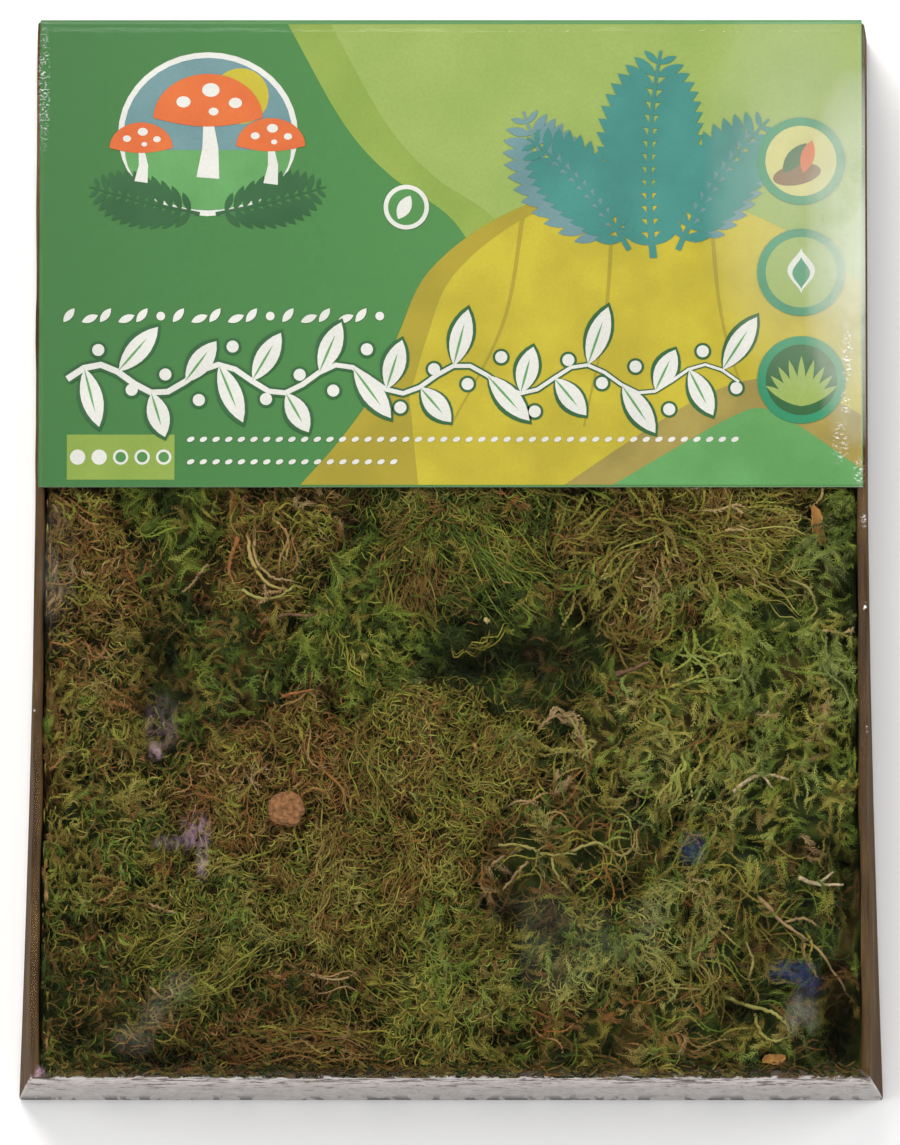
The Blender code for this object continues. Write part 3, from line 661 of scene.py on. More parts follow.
# Print on the header card: generic hills, toadstools, fern fronds, a vine and round badges
PRINT_STEP = 0.000025
PRINT_STAGGER = 0.0000014
PRINT_TURNS = 8
CARD_LEFT = -CARD_WIDTH / 2
CARD_RIGHT = CARD_WIDTH / 2
INKS = {
    "sky": ((0.215, 0.302, 0.066), (0.240, 0.325, 0.076)),
    "band": ((0.172, 0.262, 0.038), (0.205, 0.290, 0.046)),
    "sun": ((0.345, 0.285, 0.015), (0.425, 0.355, 0.020)),
    "ochre": ((0.260, 0.212, 0.013), (0.305, 0.245, 0.015)),
    "pale_yellow": ((0.420, 0.400, 0.130), (0.470, 0.440, 0.160)),
    "brown_slope": ((0.210, 0.165, 0.035), (0.290, 0.230, 0.050)),
    "ring": ((0.014, 0.175, 0.082), (0.020, 0.215, 0.100)),
    "light_green": ((0.076, 0.235, 0.066), (0.094, 0.275, 0.084)),
    "mid_green": ((0.045, 0.175, 0.040), (0.062, 0.205, 0.050)),
    "dark_green": ((0.013, 0.075, 0.020), (0.020, 0.098, 0.028)),
    "teal": ((0.028, 0.165, 0.140), (0.040, 0.205, 0.175)),
    "slate": ((0.090, 0.185, 0.195), (0.120, 0.225, 0.240)),
    "orange": ((0.480, 0.085, 0.016), (0.540, 0.120, 0.022)),
    "brown": ((0.130, 0.060, 0.022), (0.180, 0.090, 0.032)),
    "white": ((0.520, 0.520, 0.480), (0.580, 0.580, 0.540)),
}

FIELD_EDGE = [
    (-0.0403, 0.1305),
    (-0.0266, 0.1058),
    (-0.0150, 0.0927),
    (-0.0005, 0.0825),
    (0.0080, 0.0700),
]
HILL_EDGE = [
    (-0.0370, 0.0155),
    (-0.0270, 0.0270),
    (-0.0180, 0.0400),
    (-0.0125, 0.0540),
    (-0.0060, 0.0680),
    (0.0080, 0.0800),
    (0.0250, 0.0875),
    (0.0420, 0.0895),
    (0.0620, 0.0870),
    (0.0820, 0.0790),
    (0.1010, 0.0660),
]
SLOPE_EDGE = [
    (0.0280, 0.0155),
    (0.0480, 0.0290),
    (0.0640, 0.0385),
    (0.0770, 0.0420),
    (0.0880, 0.0400),
    (0.1010, 0.0330),
]
LOW_HILL_EDGE = [
    (0.0400, 0.0155),
    (0.0560, 0.0250),
    (0.0680, 0.0318),
    (0.0765, 0.0346),
    (0.0860, 0.0300),
    (0.1010, 0.0195),
]


class Print:
    """Thin sheets of ink, gathered by colour, each a little above the one before"""

    def __init__(self):
        self.sheets = {name: bmesh.new() for name in INKS}
        self.count = 0

    def add(self, ink, layer, outline):
        work = self.sheets[ink]
        self.count += 1
        high = CARD_TOP + PRINT_STEP * layer + PRINT_STAGGER * (self.count % PRINT_TURNS)
        corners = [(min(max(x, CARD_LEFT + 0.0002), CARD_RIGHT - 0.0002),
                    min(max(y, CARD_EDGE_Y + 0.0002), CARD_FAR_Y), high) for x, y in outline]
        face = work.faces.new([work.verts.new(corner) for corner in corners])
        face.normal_update()
        if face.normal.z < 0:
            face.normal_flip()

    def finish(self):
        for ink, work in self.sheets.items():
            bmesh.ops.triangulate(work, faces=[f for f in work.faces if len(f.verts) > 4])
            mesh = bpy.data.meshes.new("print_" + ink)
            work.to_mesh(mesh)
            work.free()
            new_object("print_" + ink, mesh, ink_material(ink, *INKS[ink]))


def oval(x, y, across, along=None, turn=0.0, points=40):
    along = along or across
    ring = []
    for i in range(points):
        angle = math.tau * i / points
        right = across * math.cos(angle)
        up = along * math.sin(angle)
        ring.append((x + right * math.cos(turn) - up * math.sin(turn),
                     y + right * math.sin(turn) + up * math.cos(turn)))
    return ring


def leaf_shape(x, y, turn, length, width, points=9, sharp=0.8):
    """A pointed leaf that starts at (x, y)"""
    edge = []
    for side in (1, -1):
        steps = range(points) if side == 1 else range(points - 1, 0, -1)
        for i in steps:
            share = i / (points - 1)
            off = side * width / 2 * math.sin(math.pi * share) ** sharp
            if side == -1 and i == points - 1:
                continue
            edge.append((x + length * share * math.cos(turn) - off * math.sin(turn),
                         y + length * share * math.sin(turn) + off * math.cos(turn)))
    return edge


def band(path, width):
    """A tapering band along a list of points"""
    left = []
    right = []
    for i, (x, y) in enumerate(path):
        ahead = path[min(i + 1, len(path) - 1)]
        behind = path[max(i - 1, 0)]
        turn = math.atan2(ahead[1] - behind[1], ahead[0] - behind[0])
        half = width / 2 * (1 - 0.6 * i / (len(path) - 1))
        left.append((x - half * math.sin(turn), y + half * math.cos(turn)))
        right.append((x + half * math.sin(turn), y - half * math.cos(turn)))
    return left + right[::-1]


def draw_frond(art, ink, layer, x, y, turn, length, bend, pairs):
    """A fern frond: a bent rib with pairs of leaflets that shrink towards its tip"""
    rib = []
    for i in range(pairs + 1):
        rib.append((x, y))
        step = length / pairs
        x += step * math.cos(turn)
        y += step * math.sin(turn)
        turn += bend / pairs
    art.add(ink, layer + 0.5, band(rib, length * 0.035))
    for i in range(1, pairs):
        share = i / pairs
        (x, y), (next_x, next_y) = rib[i], rib[i + 1]
        along = math.atan2(next_y - y, next_x - x)
        size = length * 0.30 * math.sin(math.pi * (0.12 + 0.86 * share)) ** 0.8
        for side in (-1, 1):
            shape = leaf_shape(x, y, along + side * 1.0, size, size * 0.34, 7)
            art.add(ink, layer, shape)


def draw_toadstool(art, layer, x, y, height, cap):
    art.add("white", layer, band([(x, y), (x + 0.0006, y + height * 0.5), (x, y + height)], cap * 0.42))
    dome = [(x + cap * math.cos(math.pi * i / 24), y + height + cap * 0.82 * math.sin(math.pi * i / 24))
            for i in range(25)]
    skirt = [(x + cap * mix(-1, 1, i / 8), y + height - cap * 0.16 * math.sin(math.pi * i / 8))
             for i in range(1, 8)]
    art.add("orange", layer + 1, dome + skirt)
    for off_x, off_y, size in ((-0.45, 0.30, 0.13), (0.05, 0.52, 0.16),
                               (0.50, 0.28, 0.12), (0.10, 0.12, 0.09)):
        art.add("white", layer + 2, oval(x + cap * off_x, y + height + cap * off_y,
                                         cap * size, cap * size * 0.8, points=18))


def draw_vine(art, layer):
    """A white vine across the card, with a dark green edge around its leaves"""
    start_x, end_x, count = -0.0945, 0.0710, 40
    spine = []
    for i in range(count + 1):
        x = mix(start_x, end_x, i / count)
        spine.append((x, 0.0418 + 0.0036 * math.sin((x - start_x) * 210)))
    art.add("dark_green", layer + 0.5, band(spine, 0.0030))
    art.add("white", layer + 2.5, band(spine, 0.0016))
    for i in range(1, count, 2):
        x, y = spine[i]
        side = 1 if (i // 2) % 2 else -1
        turn = side * math.radians(62 + 14 * math.sin(i * 1.7))
        length = 0.0135 + 0.0022 * math.sin(i * 2.3)
        art.add("dark_green", layer, leaf_shape(x, y, turn, length * 1.08, 0.0070))
        art.add("white", layer + 2, leaf_shape(x + 0.0004 * math.cos(turn), y, turn, length, 0.0054))
        art.add("light_green", layer + 3, leaf_shape(x, y, turn, length * 0.75, 0.0006, 5))
        curl_x = x + 0.0035
        curl_y = y - side * 0.0045
        art.add("dark_green", layer, oval(curl_x, curl_y, 0.0021, points=20))
        art.add("white", layer + 2, oval(curl_x, curl_y, 0.0015, points=20))


def draw_badges(art, layer):
    """Three round badges in a column, each with a small picture"""
    x = 0.0864
    for number, y in enumerate((0.0962, 0.0684, 0.0416)):
        art.add("ring", layer, oval(x, y, 0.0109))
        art.add(("pale_yellow", "sky", "dark_green")[number], layer + 1, oval(x, y, 0.0088))
        if number == 0:
            art.add("brown", layer + 2, oval(x - 0.0010, y - 0.0034, 0.0060, 0.0026, 0.2))
            art.add("dark_green", layer + 3, leaf_shape(x - 0.0045, y - 0.0030, 0.9, 0.0095, 0.0040))
            art.add("orange", layer + 3, leaf_shape(x + 0.0005, y - 0.0030, 1.3, 0.0085, 0.0034))
        elif number == 1:
            art.add("white", layer + 2, leaf_shape(x, y + 0.0060, -math.pi / 2, 0.0112, 0.0068, 13, 1.5))
            art.add("ring", layer + 3, leaf_shape(x, y + 0.0038, -math.pi / 2, 0.0080, 0.0044, 13, 1.5))
        else:
            for i in range(9):
                turn = math.radians(30 + 15 * i)
                shape = leaf_shape(x, y - 0.0066, turn, 0.0126 - 0.0006 * abs(i - 4), 0.0020, 7)
                art.add("sky", layer + 2 + i % 2, shape)


def draw_size_box(art, layer):
    """A pale box with five dots, two of them filled, for the size of the pack"""
    left, right, low, high = -0.0945, -0.0680, 0.0168, 0.0280
    art.add("band", layer, [(left, low), (right, low), (right, high), (left, high)])
    for i in range(5):
        x = mix(left, right, (i + 0.5) / 5)
        art.add("white", layer + 1, oval(x, (low + high) / 2, 0.0019, points=20))
        if i > 1:
            art.add("mid_green", layer + 2, oval(x, (low + high) / 2, 0.0013, points=20))


def draw_emblem(art, layer):
    """A round picture of three toadstools under a sun"""
    x, y = -0.0600, 0.1030
    art.add("white", layer, oval(x, y, 0.0222, 0.0205))
    art.add("slate", layer + 1, oval(x, y, 0.0208, 0.0191))
    art.add("sun", layer + 2, oval(x + 0.0080, y + 0.0095, 0.0070, points=28))
    ground = [(x + 0.0205 * math.cos(turn), y - 0.0040 + 0.0150 * math.sin(turn))
              for turn in np.linspace(-math.pi, 0, 24)]
    art.add("light_green", layer + 3, ground)
    draw_frond(art, "dark_green", layer + 4, x + 0.0020, y - 0.0200, 0.20, 0.028, 0.10, 12)
    draw_frond(art, "dark_green", layer + 4, x - 0.0020, y - 0.0200, math.pi - 0.20, 0.028, -0.10, 12)
    draw_toadstool(art, layer + 5, x, y - 0.0110, 0.0150, 0.0135)
    draw_toadstool(art, layer + 5, x + 0.0155, y - 0.0125, 0.0095, 0.0085)
    draw_toadstool(art, layer + 5, x - 0.0165, y - 0.0120, 0.0085, 0.0078)


def draw_small_marks(art, layer):
    """A ringed leaf, a row of small leaves and two rows of seeds"""
    art.add("white", layer, oval(-0.0110, 0.0847, 0.0056))
    art.add("mid_green", layer + 1, oval(-0.0110, 0.0847, 0.0045))
    art.add("white", layer + 2, leaf_shape(-0.0130, 0.0817, 1.1, 0.0066, 0.0034))
    for i in range(18):
        x = mix(-0.0955, -0.0190, i / 17)
        if i % 6 == 5:
            art.add("white", layer, oval(x + 0.0015, 0.0575, 0.0011, points=12))
        else:
            art.add("white", layer, leaf_shape(x, 0.0560, 0.9 - 0.5 * (i % 2), 0.0044, 0.0019, 7))
    for y, end, count in ((0.0268, 0.0700, 44), (0.0212, -0.0140, 17)):
        for i in range(count):
            art.add("white", layer, oval(mix(-0.0640, end, i / (count - 1)), y, 0.0010, 0.0006, 0.4, 8))


def draw_landscape(art):
    """A light field, a broad yellow hill with veins, a brown slope and a low green hill"""
    field = route_through(FIELD_EDGE, 40)
    corner = [(CARD_RIGHT, 0.0600), (CARD_RIGHT, 0.1305)]
    art.add("band", 1, [*field, *corner])
    art.add("sky", 2, [*(field[::-1] + np.array([0.0105, 0.0])).tolist()[::-1], *corner])
    hill = route_through(HILL_EDGE, 60)
    art.add("ochre", 3, [*hill, (CARD_RIGHT, 0.0155)])
    inner = hill[12:] + np.linspace(0.0075, 0.0, 48)[:, None] * np.array([1.0, -0.3])
    art.add("sun", 4, [(-0.0080, 0.0155), *inner, (CARD_RIGHT, 0.0155)])
    for start, bend in ((0.018, -0.010), (0.040, -0.004), (0.064, 0.006)):
        vein = [(start, 0.0840), (start + bend * 0.5, 0.0560), (start + bend * 1.8, 0.0300)]
        art.add("ochre", 5, band(route_through(vein, 16).tolist(), 0.0011))
    art.add("brown_slope", 6, [*route_through(SLOPE_EDGE, 30), (CARD_RIGHT, 0.0155)])
    art.add("light_green", 7, [*route_through(LOW_HILL_EDGE, 30), (CARD_RIGHT, 0.0155)])


def draw_card():
    art = Print()
    draw_landscape(art)
    draw_frond(art, "slate", 8, 0.0600, 0.0760, math.radians(52), 0.032, 0.50, 12)
    draw_frond(art, "slate", 8, 0.0400, 0.0760, math.radians(140), 0.040, -0.60, 13)
    draw_frond(art, "teal", 9, 0.0500, 0.0720, math.radians(96), 0.052, -0.30, 16)
    draw_frond(art, "teal", 10, 0.0560, 0.0740, math.radians(66), 0.040, -0.40, 13)
    draw_frond(art, "teal", 11, 0.0440, 0.0740, math.radians(120), 0.038, 0.45, 13)
    draw_emblem(art, 1)
    draw_vine(art, 9)
    draw_badges(art, 13)
    draw_size_box(art, 1)
    draw_small_marks(art, 8)
    art.finish()


# Box-shaped grids that the film's mesh starts from


def unit_grid_box(cuts):
    """A box from 0 to 1 on each axis, cut into a grid along X, Y and Z"""
    work = bmesh.new()
    bmesh.ops.create_cube(work, size=1.0)
    bmesh.ops.translate(work, verts=work.verts, vec=(0.5, 0.5, 0.5))
    for axis, count in enumerate(cuts):
        edges = [e for e in work.edges if abs(e.verts[0].co[axis] - e.verts[1].co[axis]) > 0.5]
        bmesh.ops.subdivide_edges(work, edges=edges, cuts=count, use_grid_fill=True)
    return work


def film_height(x, y):
    """Height of the film's top: it rises to a low crown, with gathers at the corners"""
    crown = np.cos(x / RIM_WIDTH_FAR * math.pi) * np.cos(y / RIM_LENGTH * math.pi)
    z = CARD_TOP + GAP + FILM_CROWN * np.clip(crown, 0, 1) ** 0.7
    z = z + 0.00016 * waves(x, y, 0.030, 21) + 0.00010 * waves(x, y, 0.012, 22)
    for side_x in (-1, 1):
        for side_y in (-1, 1):
            across = x - side_x * RIM_WIDTH_FAR / 2
            along = y - side_y * RIM_LENGTH / 2
            reach = np.hypot(across, along)
            angle = np.arctan2(along, across)
            z = z + 0.00035 * np.exp(-reach / 0.018) * np.sin(angle * 14 + side_x + 2 * side_y)
    return z


# Patches of painted reflections and glints on the film: middle, half size across, half size along and
# strength. No place has more than three over it, because a renderer follows light through few clear sheets.
# Painted hazy reflections on the film
HAZE_REFLECTIONS = [
    (0.0862, -0.1155, 0.0050, 0.0060, 0.24),
    (-0.0775, -0.1215, 0.0060, 0.0050, 0.08),
    (-0.0710, -0.1150, 0.0060, 0.0050, 0.08),
    (-0.0650, -0.1085, 0.0065, 0.0050, 0.07),
    (-0.0970, -0.0080, 0.0050, 0.0200, 0.08),
]
# Painted grey reflections on the film
GREY_REFLECTIONS = [
    (0.0250, -0.0975, 0.0170, 0.0150, 0.07),
    (0.0470, -0.0960, 0.0130, 0.0100, 0.06),
    (-0.0710, -0.0420, 0.0060, 0.0080, 0.05),
]
GLARES = [
    (0.1000, 0.0720, 0.0130, 0.0480, 0.50),
    (0.0860, 0.0930, 0.0240, 0.0560, 0.16),
]
# Painted blue reflections on the film
BLUE_REFLECTIONS = [
    (0.0838, -0.1050, 0.0068, 0.0034, 0.62),
    (0.0880, -0.1085, 0.0040, 0.0030, 0.50),
    (0.0594, -0.0748, 0.0040, 0.0046, 0.50),
]
SHEENS = [
    (-0.0722, -0.0508, 0.0022, 0.0028, 0.50),
    (-0.0709, -0.0440, 0.0046, 0.0080, 0.14),
    (-0.0625, -0.0706, 0.0042, 0.0056, 0.40),
    (-0.0608, -0.0780, 0.0018, 0.0052, 0.36),
    (-0.0672, -0.0733, 0.0064, 0.0022, 0.30),
    (-0.1010, -0.1300, 0.0022, 0.0022, 0.80),
]
# Painted glints along the card's right edge and the rims
SCRATCH_GLINTS = [
    (0.0978, 0.0475, 0.0016, 0.0080, 1.00),
    (0.0972, 0.0359, 0.0015, 0.0034, 0.90),
    (0.0960, 0.0262, 0.0022, 0.0060, 0.65),
    (0.1004, 0.0185, 0.0018, 0.0040, 0.60),
    (0.1018, 0.0068, 0.0012, 0.0022, 1.00),
    (-0.1005, 0.1150, 0.0016, 0.0180, 0.60),
    (-0.1023, -0.0410, 0.0010, 0.0010, 1.00),
    (0.1020, -0.0150, 0.0008, 0.0016, 1.00),
    (0.1025, -0.0450, 0.0008, 0.0014, 1.00),
    (0.1035, -0.1060, 0.0008, 0.0020, 0.90),
    (-0.1040, -0.1310, 0.0014, 0.0012, 1.00),
]

# Painted reflections and glints on the film: name, colour, stretch and size of the streaks, the streaks'
# limits, patches
FILM_REFLECTIONS = [
    ("film_haze_reflections", (0.50, 0.48, 0.44), (1.0, 0.5, 1.0), 160.0, 0.36, 0.66, HAZE_REFLECTIONS),
    ("film_grey_reflections", (0.24, 0.24, 0.20), (1.0, 0.6, 1.0), 90.0, 0.42, 0.56, GREY_REFLECTIONS),
    ("film_glare", (0.84, 0.88, 0.76), (1.0, 1.0, 1.0), 30.0, 0.10, 0.50, GLARES),
    ("film_blue_reflections", (0.020, 0.034, 0.110), (1.0, 1.4, 1.0), 520.0, 0.30, 0.56, BLUE_REFLECTIONS),
    ("film_sheens", (0.46, 0.30, 0.39), (1.0, 0.6, 1.0), 640.0, 0.38, 0.64, SHEENS),
    ("film_scratch_glints", (0.92, 0.92, 0.94), (0.55, 1.0, 1.0), 2100.0, 0.53, 0.60, SCRATCH_GLINTS),
]


def values_of(mesh):
    places = np.empty(len(mesh.vertices) * 3)
    mesh.vertices.foreach_get("co", places)
    return places.reshape(-1, 3)


def set_values(mesh, places):
    mesh.vertices.foreach_set("co", places.ravel())
    mesh.update()


def make_film():
    work = unit_grid_box((56, 72, 6))
    mesh = bpy.data.meshes.new("film_skin")
    work.to_mesh(mesh)
    work.free()
    share = values_of(mesh)
    z = share[:, 2] * (CARD_TOP + GAP)
    y = mix(-1, 1, share[:, 1]) * (half_length(z) + GAP + FILM_THICKNESS)
    x = mix(-1, 1, share[:, 0]) * (half_width(y, z) + GAP + FILM_THICKNESS)
    top = share[:, 2] > 0.999
    rim = np.minimum(np.minimum(share[:, 0], 1 - share[:, 0]), np.minimum(share[:, 1], 1 - share[:, 1]))
    z = np.where(top & (rim > 0.001), film_height(x, y), z)
    z = np.maximum(z, 0.0)
    set_values(mesh, np.stack([x, y, z], axis=1))
    mesh.polygons.foreach_set("use_smooth", np.ones(len(mesh.polygons), dtype=bool))
    new_object("film_skin", mesh, film_material(), "film")


def patch_cuts(low, high):
    return np.linspace(low, high, max(MARK_CUTS, int((high - low) / MARK_CELL)))


def make_film_reflections():
    """Sheets just over the film that hold its painted reflections and glints, each patch fading to nothing at
    its edge
    """
    rise = MARK_RISE
    for name, colour, stretch, scale, low, high, patches in FILM_REFLECTIONS:
        places = []
        faces = []
        amounts = []
        count = 0
        for middle_x, middle_y, across, along, strength in patches:
            end_y = half_length(TRAY_TOP)
            cuts_y = patch_cuts(max(middle_y - along, -end_y), min(middle_y + along, end_y))
            end_x = half_width(middle_y, TRAY_TOP)
            cuts_x = patch_cuts(max(middle_x - across, -end_x), min(middle_x + across, end_x))
            y, x = np.meshgrid(cuts_y, cuts_x, indexing="ij")
            away = np.hypot((x - middle_x) / across, (y - middle_y) / along)
            index = np.arange(x.size).reshape(x.shape) + count
            quads = np.stack([index[:-1, :-1], index[:-1, 1:], index[1:, 1:], index[1:, :-1]], axis=-1)
            rise += MARK_STEP
            places.append(np.stack([x, y, film_height(x, y) + rise], axis=-1).reshape(-1, 3))
            faces.append(quads.reshape(-1, 4))
            amounts.append((strength * np.clip(1 - away, 0, 1) ** 0.6).ravel())
            count += x.size
        mesh = bpy.data.meshes.new(name)
        mesh.from_pydata(np.concatenate(places).tolist(), [], np.concatenate(faces).tolist())
        layer = mesh.attributes.new("amount", "FLOAT", "POINT")
        layer.data.foreach_set("value", np.concatenate(amounts))
        look = reflection_material(name, colour, stretch, scale, low, high)
        new_object(name, mesh, look)


def make_tray():
    """A finer copy of the tray, slightly wavy, with white ply on the near wall's outer face"""
    work = bmesh.new()
    work.from_mesh(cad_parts["tray"].data)
    bmesh.ops.remove_doubles(work, verts=work.verts, dist=0.00002)
    bmesh.ops.dissolve_limit(work, angle_limit=0.01, verts=work.verts, edges=work.edges)
    corners = [e for e in work.edges if e.is_manifold and e.calc_face_angle() > 0.5]
    bmesh.ops.bevel(work, geom=corners, offset=0.0004, segments=1, affect="EDGES")
    bmesh.ops.triangulate(work, faces=work.faces)
    for _ in range(6):
        long_edges = [e for e in work.edges if e.calc_length() > 0.0120]
        if not long_edges:
            break
        bmesh.ops.subdivide_edges(work, edges=long_edges, cuts=1)
        bmesh.ops.triangulate(work, faces=[f for f in work.faces if len(f.verts) > 3])
    mesh = bpy.data.meshes.new("folded_tray")
    work.to_mesh(mesh)
    work.free()
    places = values_of(mesh)
    x, y, z = places.T
    near_top = share_between(z, TRAY_BOTTOM + 0.010, TRAY_TOP)
    push = 0.00035 * near_top * waves(y, z, 0.045, 31)
    places[:, 0] = x + np.sign(x) * push
    places[:, 1] = y + np.sign(y) * 0.00035 * near_top * waves(x, z, 0.045, 32)
    places[:, 2] = z + 0.00025 * near_top * waves(x, y, 0.020, 33)
    set_values(mesh, places)
    tray = new_object("folded_tray", mesh, kraft_material(), "tray")
    tray.data.materials.append(white_ply_material())
    for face in mesh.polygons:
        on_rim = face.center.z > TRAY_TOP - 0.0015 and face.center.y < -RIM_LENGTH / 2 + BOARD
        outside = face.normal.y < -0.6 and face.center.y < -half_length(face.center.z) + 0.0012
        if outside or on_rim:
            face.material_index = 1


# Strands of moss


class Bundle:
    """Vertices, faces, tones and lightness of many small shapes joined in one mesh"""

    def __init__(self):
        self.places = []
        self.faces = {3: [], 4: []}
        self.tones = []
        self.lights = []
        self.count = 0

    def add(self, places, faces, tones, lights):
        self.places.append(places.reshape(-1, 3))
        self.faces[faces.shape[-1]].append(faces.reshape(-1, faces.shape[-1]) + self.count)
        self.tones.append(np.broadcast_to(tones, places.shape[:-1]).ravel())
        self.lights.append(np.broadcast_to(lights, places.shape[:-1]).ravel())
        self.count += places.size // 3

    def to_mesh(self, name):
        places = np.concatenate(self.places)
        loops = []
        sizes = []
        for corners, parts in self.faces.items():
            if parts:
                joined = np.concatenate(parts)
                loops.append(joined.ravel())
                sizes.append(np.full(len(joined), corners))
        loops = np.concatenate(loops)
        sizes = np.concatenate(sizes)
        mesh = bpy.data.meshes.new(name)
        mesh.vertices.add(len(places))
        mesh.vertices.foreach_set("co", places.ravel())
        mesh.loops.add(len(loops))
        mesh.loops.foreach_set("vertex_index", loops.astype(np.int32))
        mesh.polygons.add(len(sizes))
        mesh.polygons.foreach_set("loop_start", (np.cumsum(sizes) - sizes).astype(np.int32))
        mesh.polygons.foreach_set("use_smooth", np.ones(len(sizes), dtype=bool))
        mesh.update(calc_edges=True)
        uv = np.stack([np.concatenate(self.tones), np.concatenate(self.lights)], axis=1)
        layer = mesh.uv_layers.new(name="OFBake")
        layer.data.foreach_set("uv", np.clip(uv, 0.003, 0.997)[loops].ravel())
        return mesh


def unit(vectors):
    return vectors / np.maximum(np.linalg.norm(vectors, axis=-1, keepdims=True), 1e-9)


def frames_along(path, roll):
    """Forward, sideways and upward directions at each point of each path"""
    forward = unit(np.gradient(path, axis=1))
    flat = unit(np.stack([-forward[..., 1], forward[..., 0], 0 * forward[..., 0]], axis=-1))
    up = np.cross(forward, flat)
    side = flat * np.cos(roll)[:, None, None] + up * np.sin(roll)[:, None, None]
    return forward, side, np.cross(forward, side)


def add_ribbons(bundle, path, width, roll, tone, light, folded=False):
    """A ribbon along each path, flat or with a raised fold"""
    count, points, _ = path.shape
    _, side, up = frames_along(path, roll)
    along = np.linspace(0, 1, points)
    taper = np.minimum(1, np.minimum(4 * along + 0.35, 3.0 * (1 - along) + 0.12))
    half = (width[:, None] * taper / 2)[..., None]
    rows = [path - side * half, path + side * half]
    if folded:
        rows.insert(1, path + up * half * 0.8)
    places = np.stack(rows, axis=2)
    across = len(rows)
    index = np.arange(count * points * across).reshape(count, points, across)
    sheet = [index[:, :-1, :-1], index[:, :-1, 1:], index[:, 1:, 1:], index[:, 1:, :-1]]
    tones = tone[:, None, None] + np.linspace(-0.012, 0.012, across)
    # Lighter towards the tip and darker at the root, where the strand lies low: partly painted shade
    lights = light[:, None, None] + (0.22 * (along - 0.6))[:, None]
    bundle.add(places, np.stack(sheet, axis=-1), tones, np.broadcast_to(lights, places.shape[:-1]))


def add_tube(bundle, path, radius, tone, light, sides=6):
    """A round, tapering, slightly knotty stem along one path"""
    points = len(path)
    forward, side, up = (part[0] for part in frames_along(path[None], np.zeros(1)))
    around = np.arange(sides) * math.tau / sides
    knots = 1 + 0.10 * np.sin(np.arange(points) * 1.9) + 0.06 * np.sin(np.arange(points) * 0.7 + 1)
    ring = side[:, None] * np.cos(around)[:, None] + up[:, None] * np.sin(around)[:, None]
    places = path[:, None] + ring * (radius * knots)[:, None, None]
    index = np.arange(points * sides).reshape(points, sides)
    turned = np.roll(index, -1, axis=1)
    wall = np.stack([index[:-1], turned[:-1], turned[1:], index[1:]], axis=-1)
    tones = tone + 0.012 * np.cos(around)
    lights = light + 0.05 * np.sin(np.arange(points) * 0.8)[:, None]
    first = bundle.count
    bundle.add(places, wall, tones, lights)
    for row in (index[0][::-1], index[-1]):
        fan = np.stack([np.full(sides - 2, row[0]), row[1:-1], row[2:]], axis=-1)
        bundle.faces[3].append(fan + first)


def add_leaves(bundle, rng, path, style, roll, tone, light):
    """A pair of pointed leaves at each joint of each stem"""
    count, points, _ = path.shape
    forward, side, up = frames_along(path, roll)
    along = np.linspace(0, 1, points)
    size = (0.55 + 0.45 * np.sin(np.pi * along ** 0.8))[:, None]
    for sign in (-1.0, 1.0):
        angle = style["leaf_angle"] * rng.uniform(0.75, 1.3, (count, points, 1))
        rise = rng.uniform(-0.15, 0.75, (count, points, 1))
        reach = style["leaf"] * size * rng.uniform(0.75, 1.3, (count, points, 1))
        aim = unit(forward * np.cos(angle) + side * sign * np.sin(angle) + up * rise * 0.6)
        across = unit(np.cross(aim, up + side * sign * 0.3)) * style["leaf_width"] / 2
        waist = path + aim * reach * 0.4
        tip = path + aim * reach + forward * reach * 0.35 - up * reach * 0.15
        places = np.stack([path, waist - across, tip, waist + across], axis=2)
        index = np.arange(count * points * 4).reshape(count, points, 4)
        leaf_tone = tone[:, None, None] + rng.normal(0, 0.014, (count, points, 1))
        tones = leaf_tone + np.array([0.0, -0.010, 0.006, 0.010])
        # Painted shade and highlight: leaves are darker where they join the stem and lighter at their tips
        base = (light[:, None, None] + (0.16 * (along - 0.5))[:, None]
            + rng.normal(0, 0.07, (count, points, 1)))
        lights = base + np.array([-0.12, 0.0, 0.10, 0.0])
        bundle.add(places, index, tones, lights)


def choose(rng, weights, count):
    """COUNT keys drawn by their weights"""
    keys = list(weights)
    odds = np.array([weights[key] for key in keys], dtype=float)
    return [keys[i] for i in rng.choice(len(keys), size=count, p=odds / odds.sum())]


def flow_angle(flow, x, y):
    kind, aim, _ = flow
    if kind == "comb":
        return math.radians(aim) + 0.55 * waves(x, y, 0.017, 11)
    if kind == "rays":
        return np.arctan2(y - aim[1], x - aim[0]) + 0.45 * waves(x, y, 0.015, 13)
    if kind == "swirl":
        return np.arctan2(y - aim[1], x - aim[0]) + 0.5 * math.pi
    return math.pi * 1.5 * waves(x, y, 0.022, 12)


def lock_starts(rng, number, density):
    """Random places in the tuft's own cell, for DENSITY locks on each square millimetre"""
    low, high = (np.array(corner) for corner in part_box(TUFTS[number][0]))
    margin = 0.002
    area = (high[0] - low[0] + 2 * margin) * (high[1] - low[1] + 2 * margin)
    count = int(area * 1e6 * density)
    x = rng.uniform(low[0] - margin, high[0] + margin, count)
    y = rng.uniform(low[1] - margin, high[1] + margin, count)
    chance = rng.uniform(0, 1, count)
    owner, _ = nearest_tufts(x, y)
    inside = (np.abs(x) < half_width(y, TRAY_TOP) - BOARD) & (np.abs(y) < RIM_LENGTH / 2 - BOARD)
    keep = (owner == number) & inside & ((y < HIDDEN_Y) | (chance < HIDDEN_SHARE))
    return x[keep], y[keep]


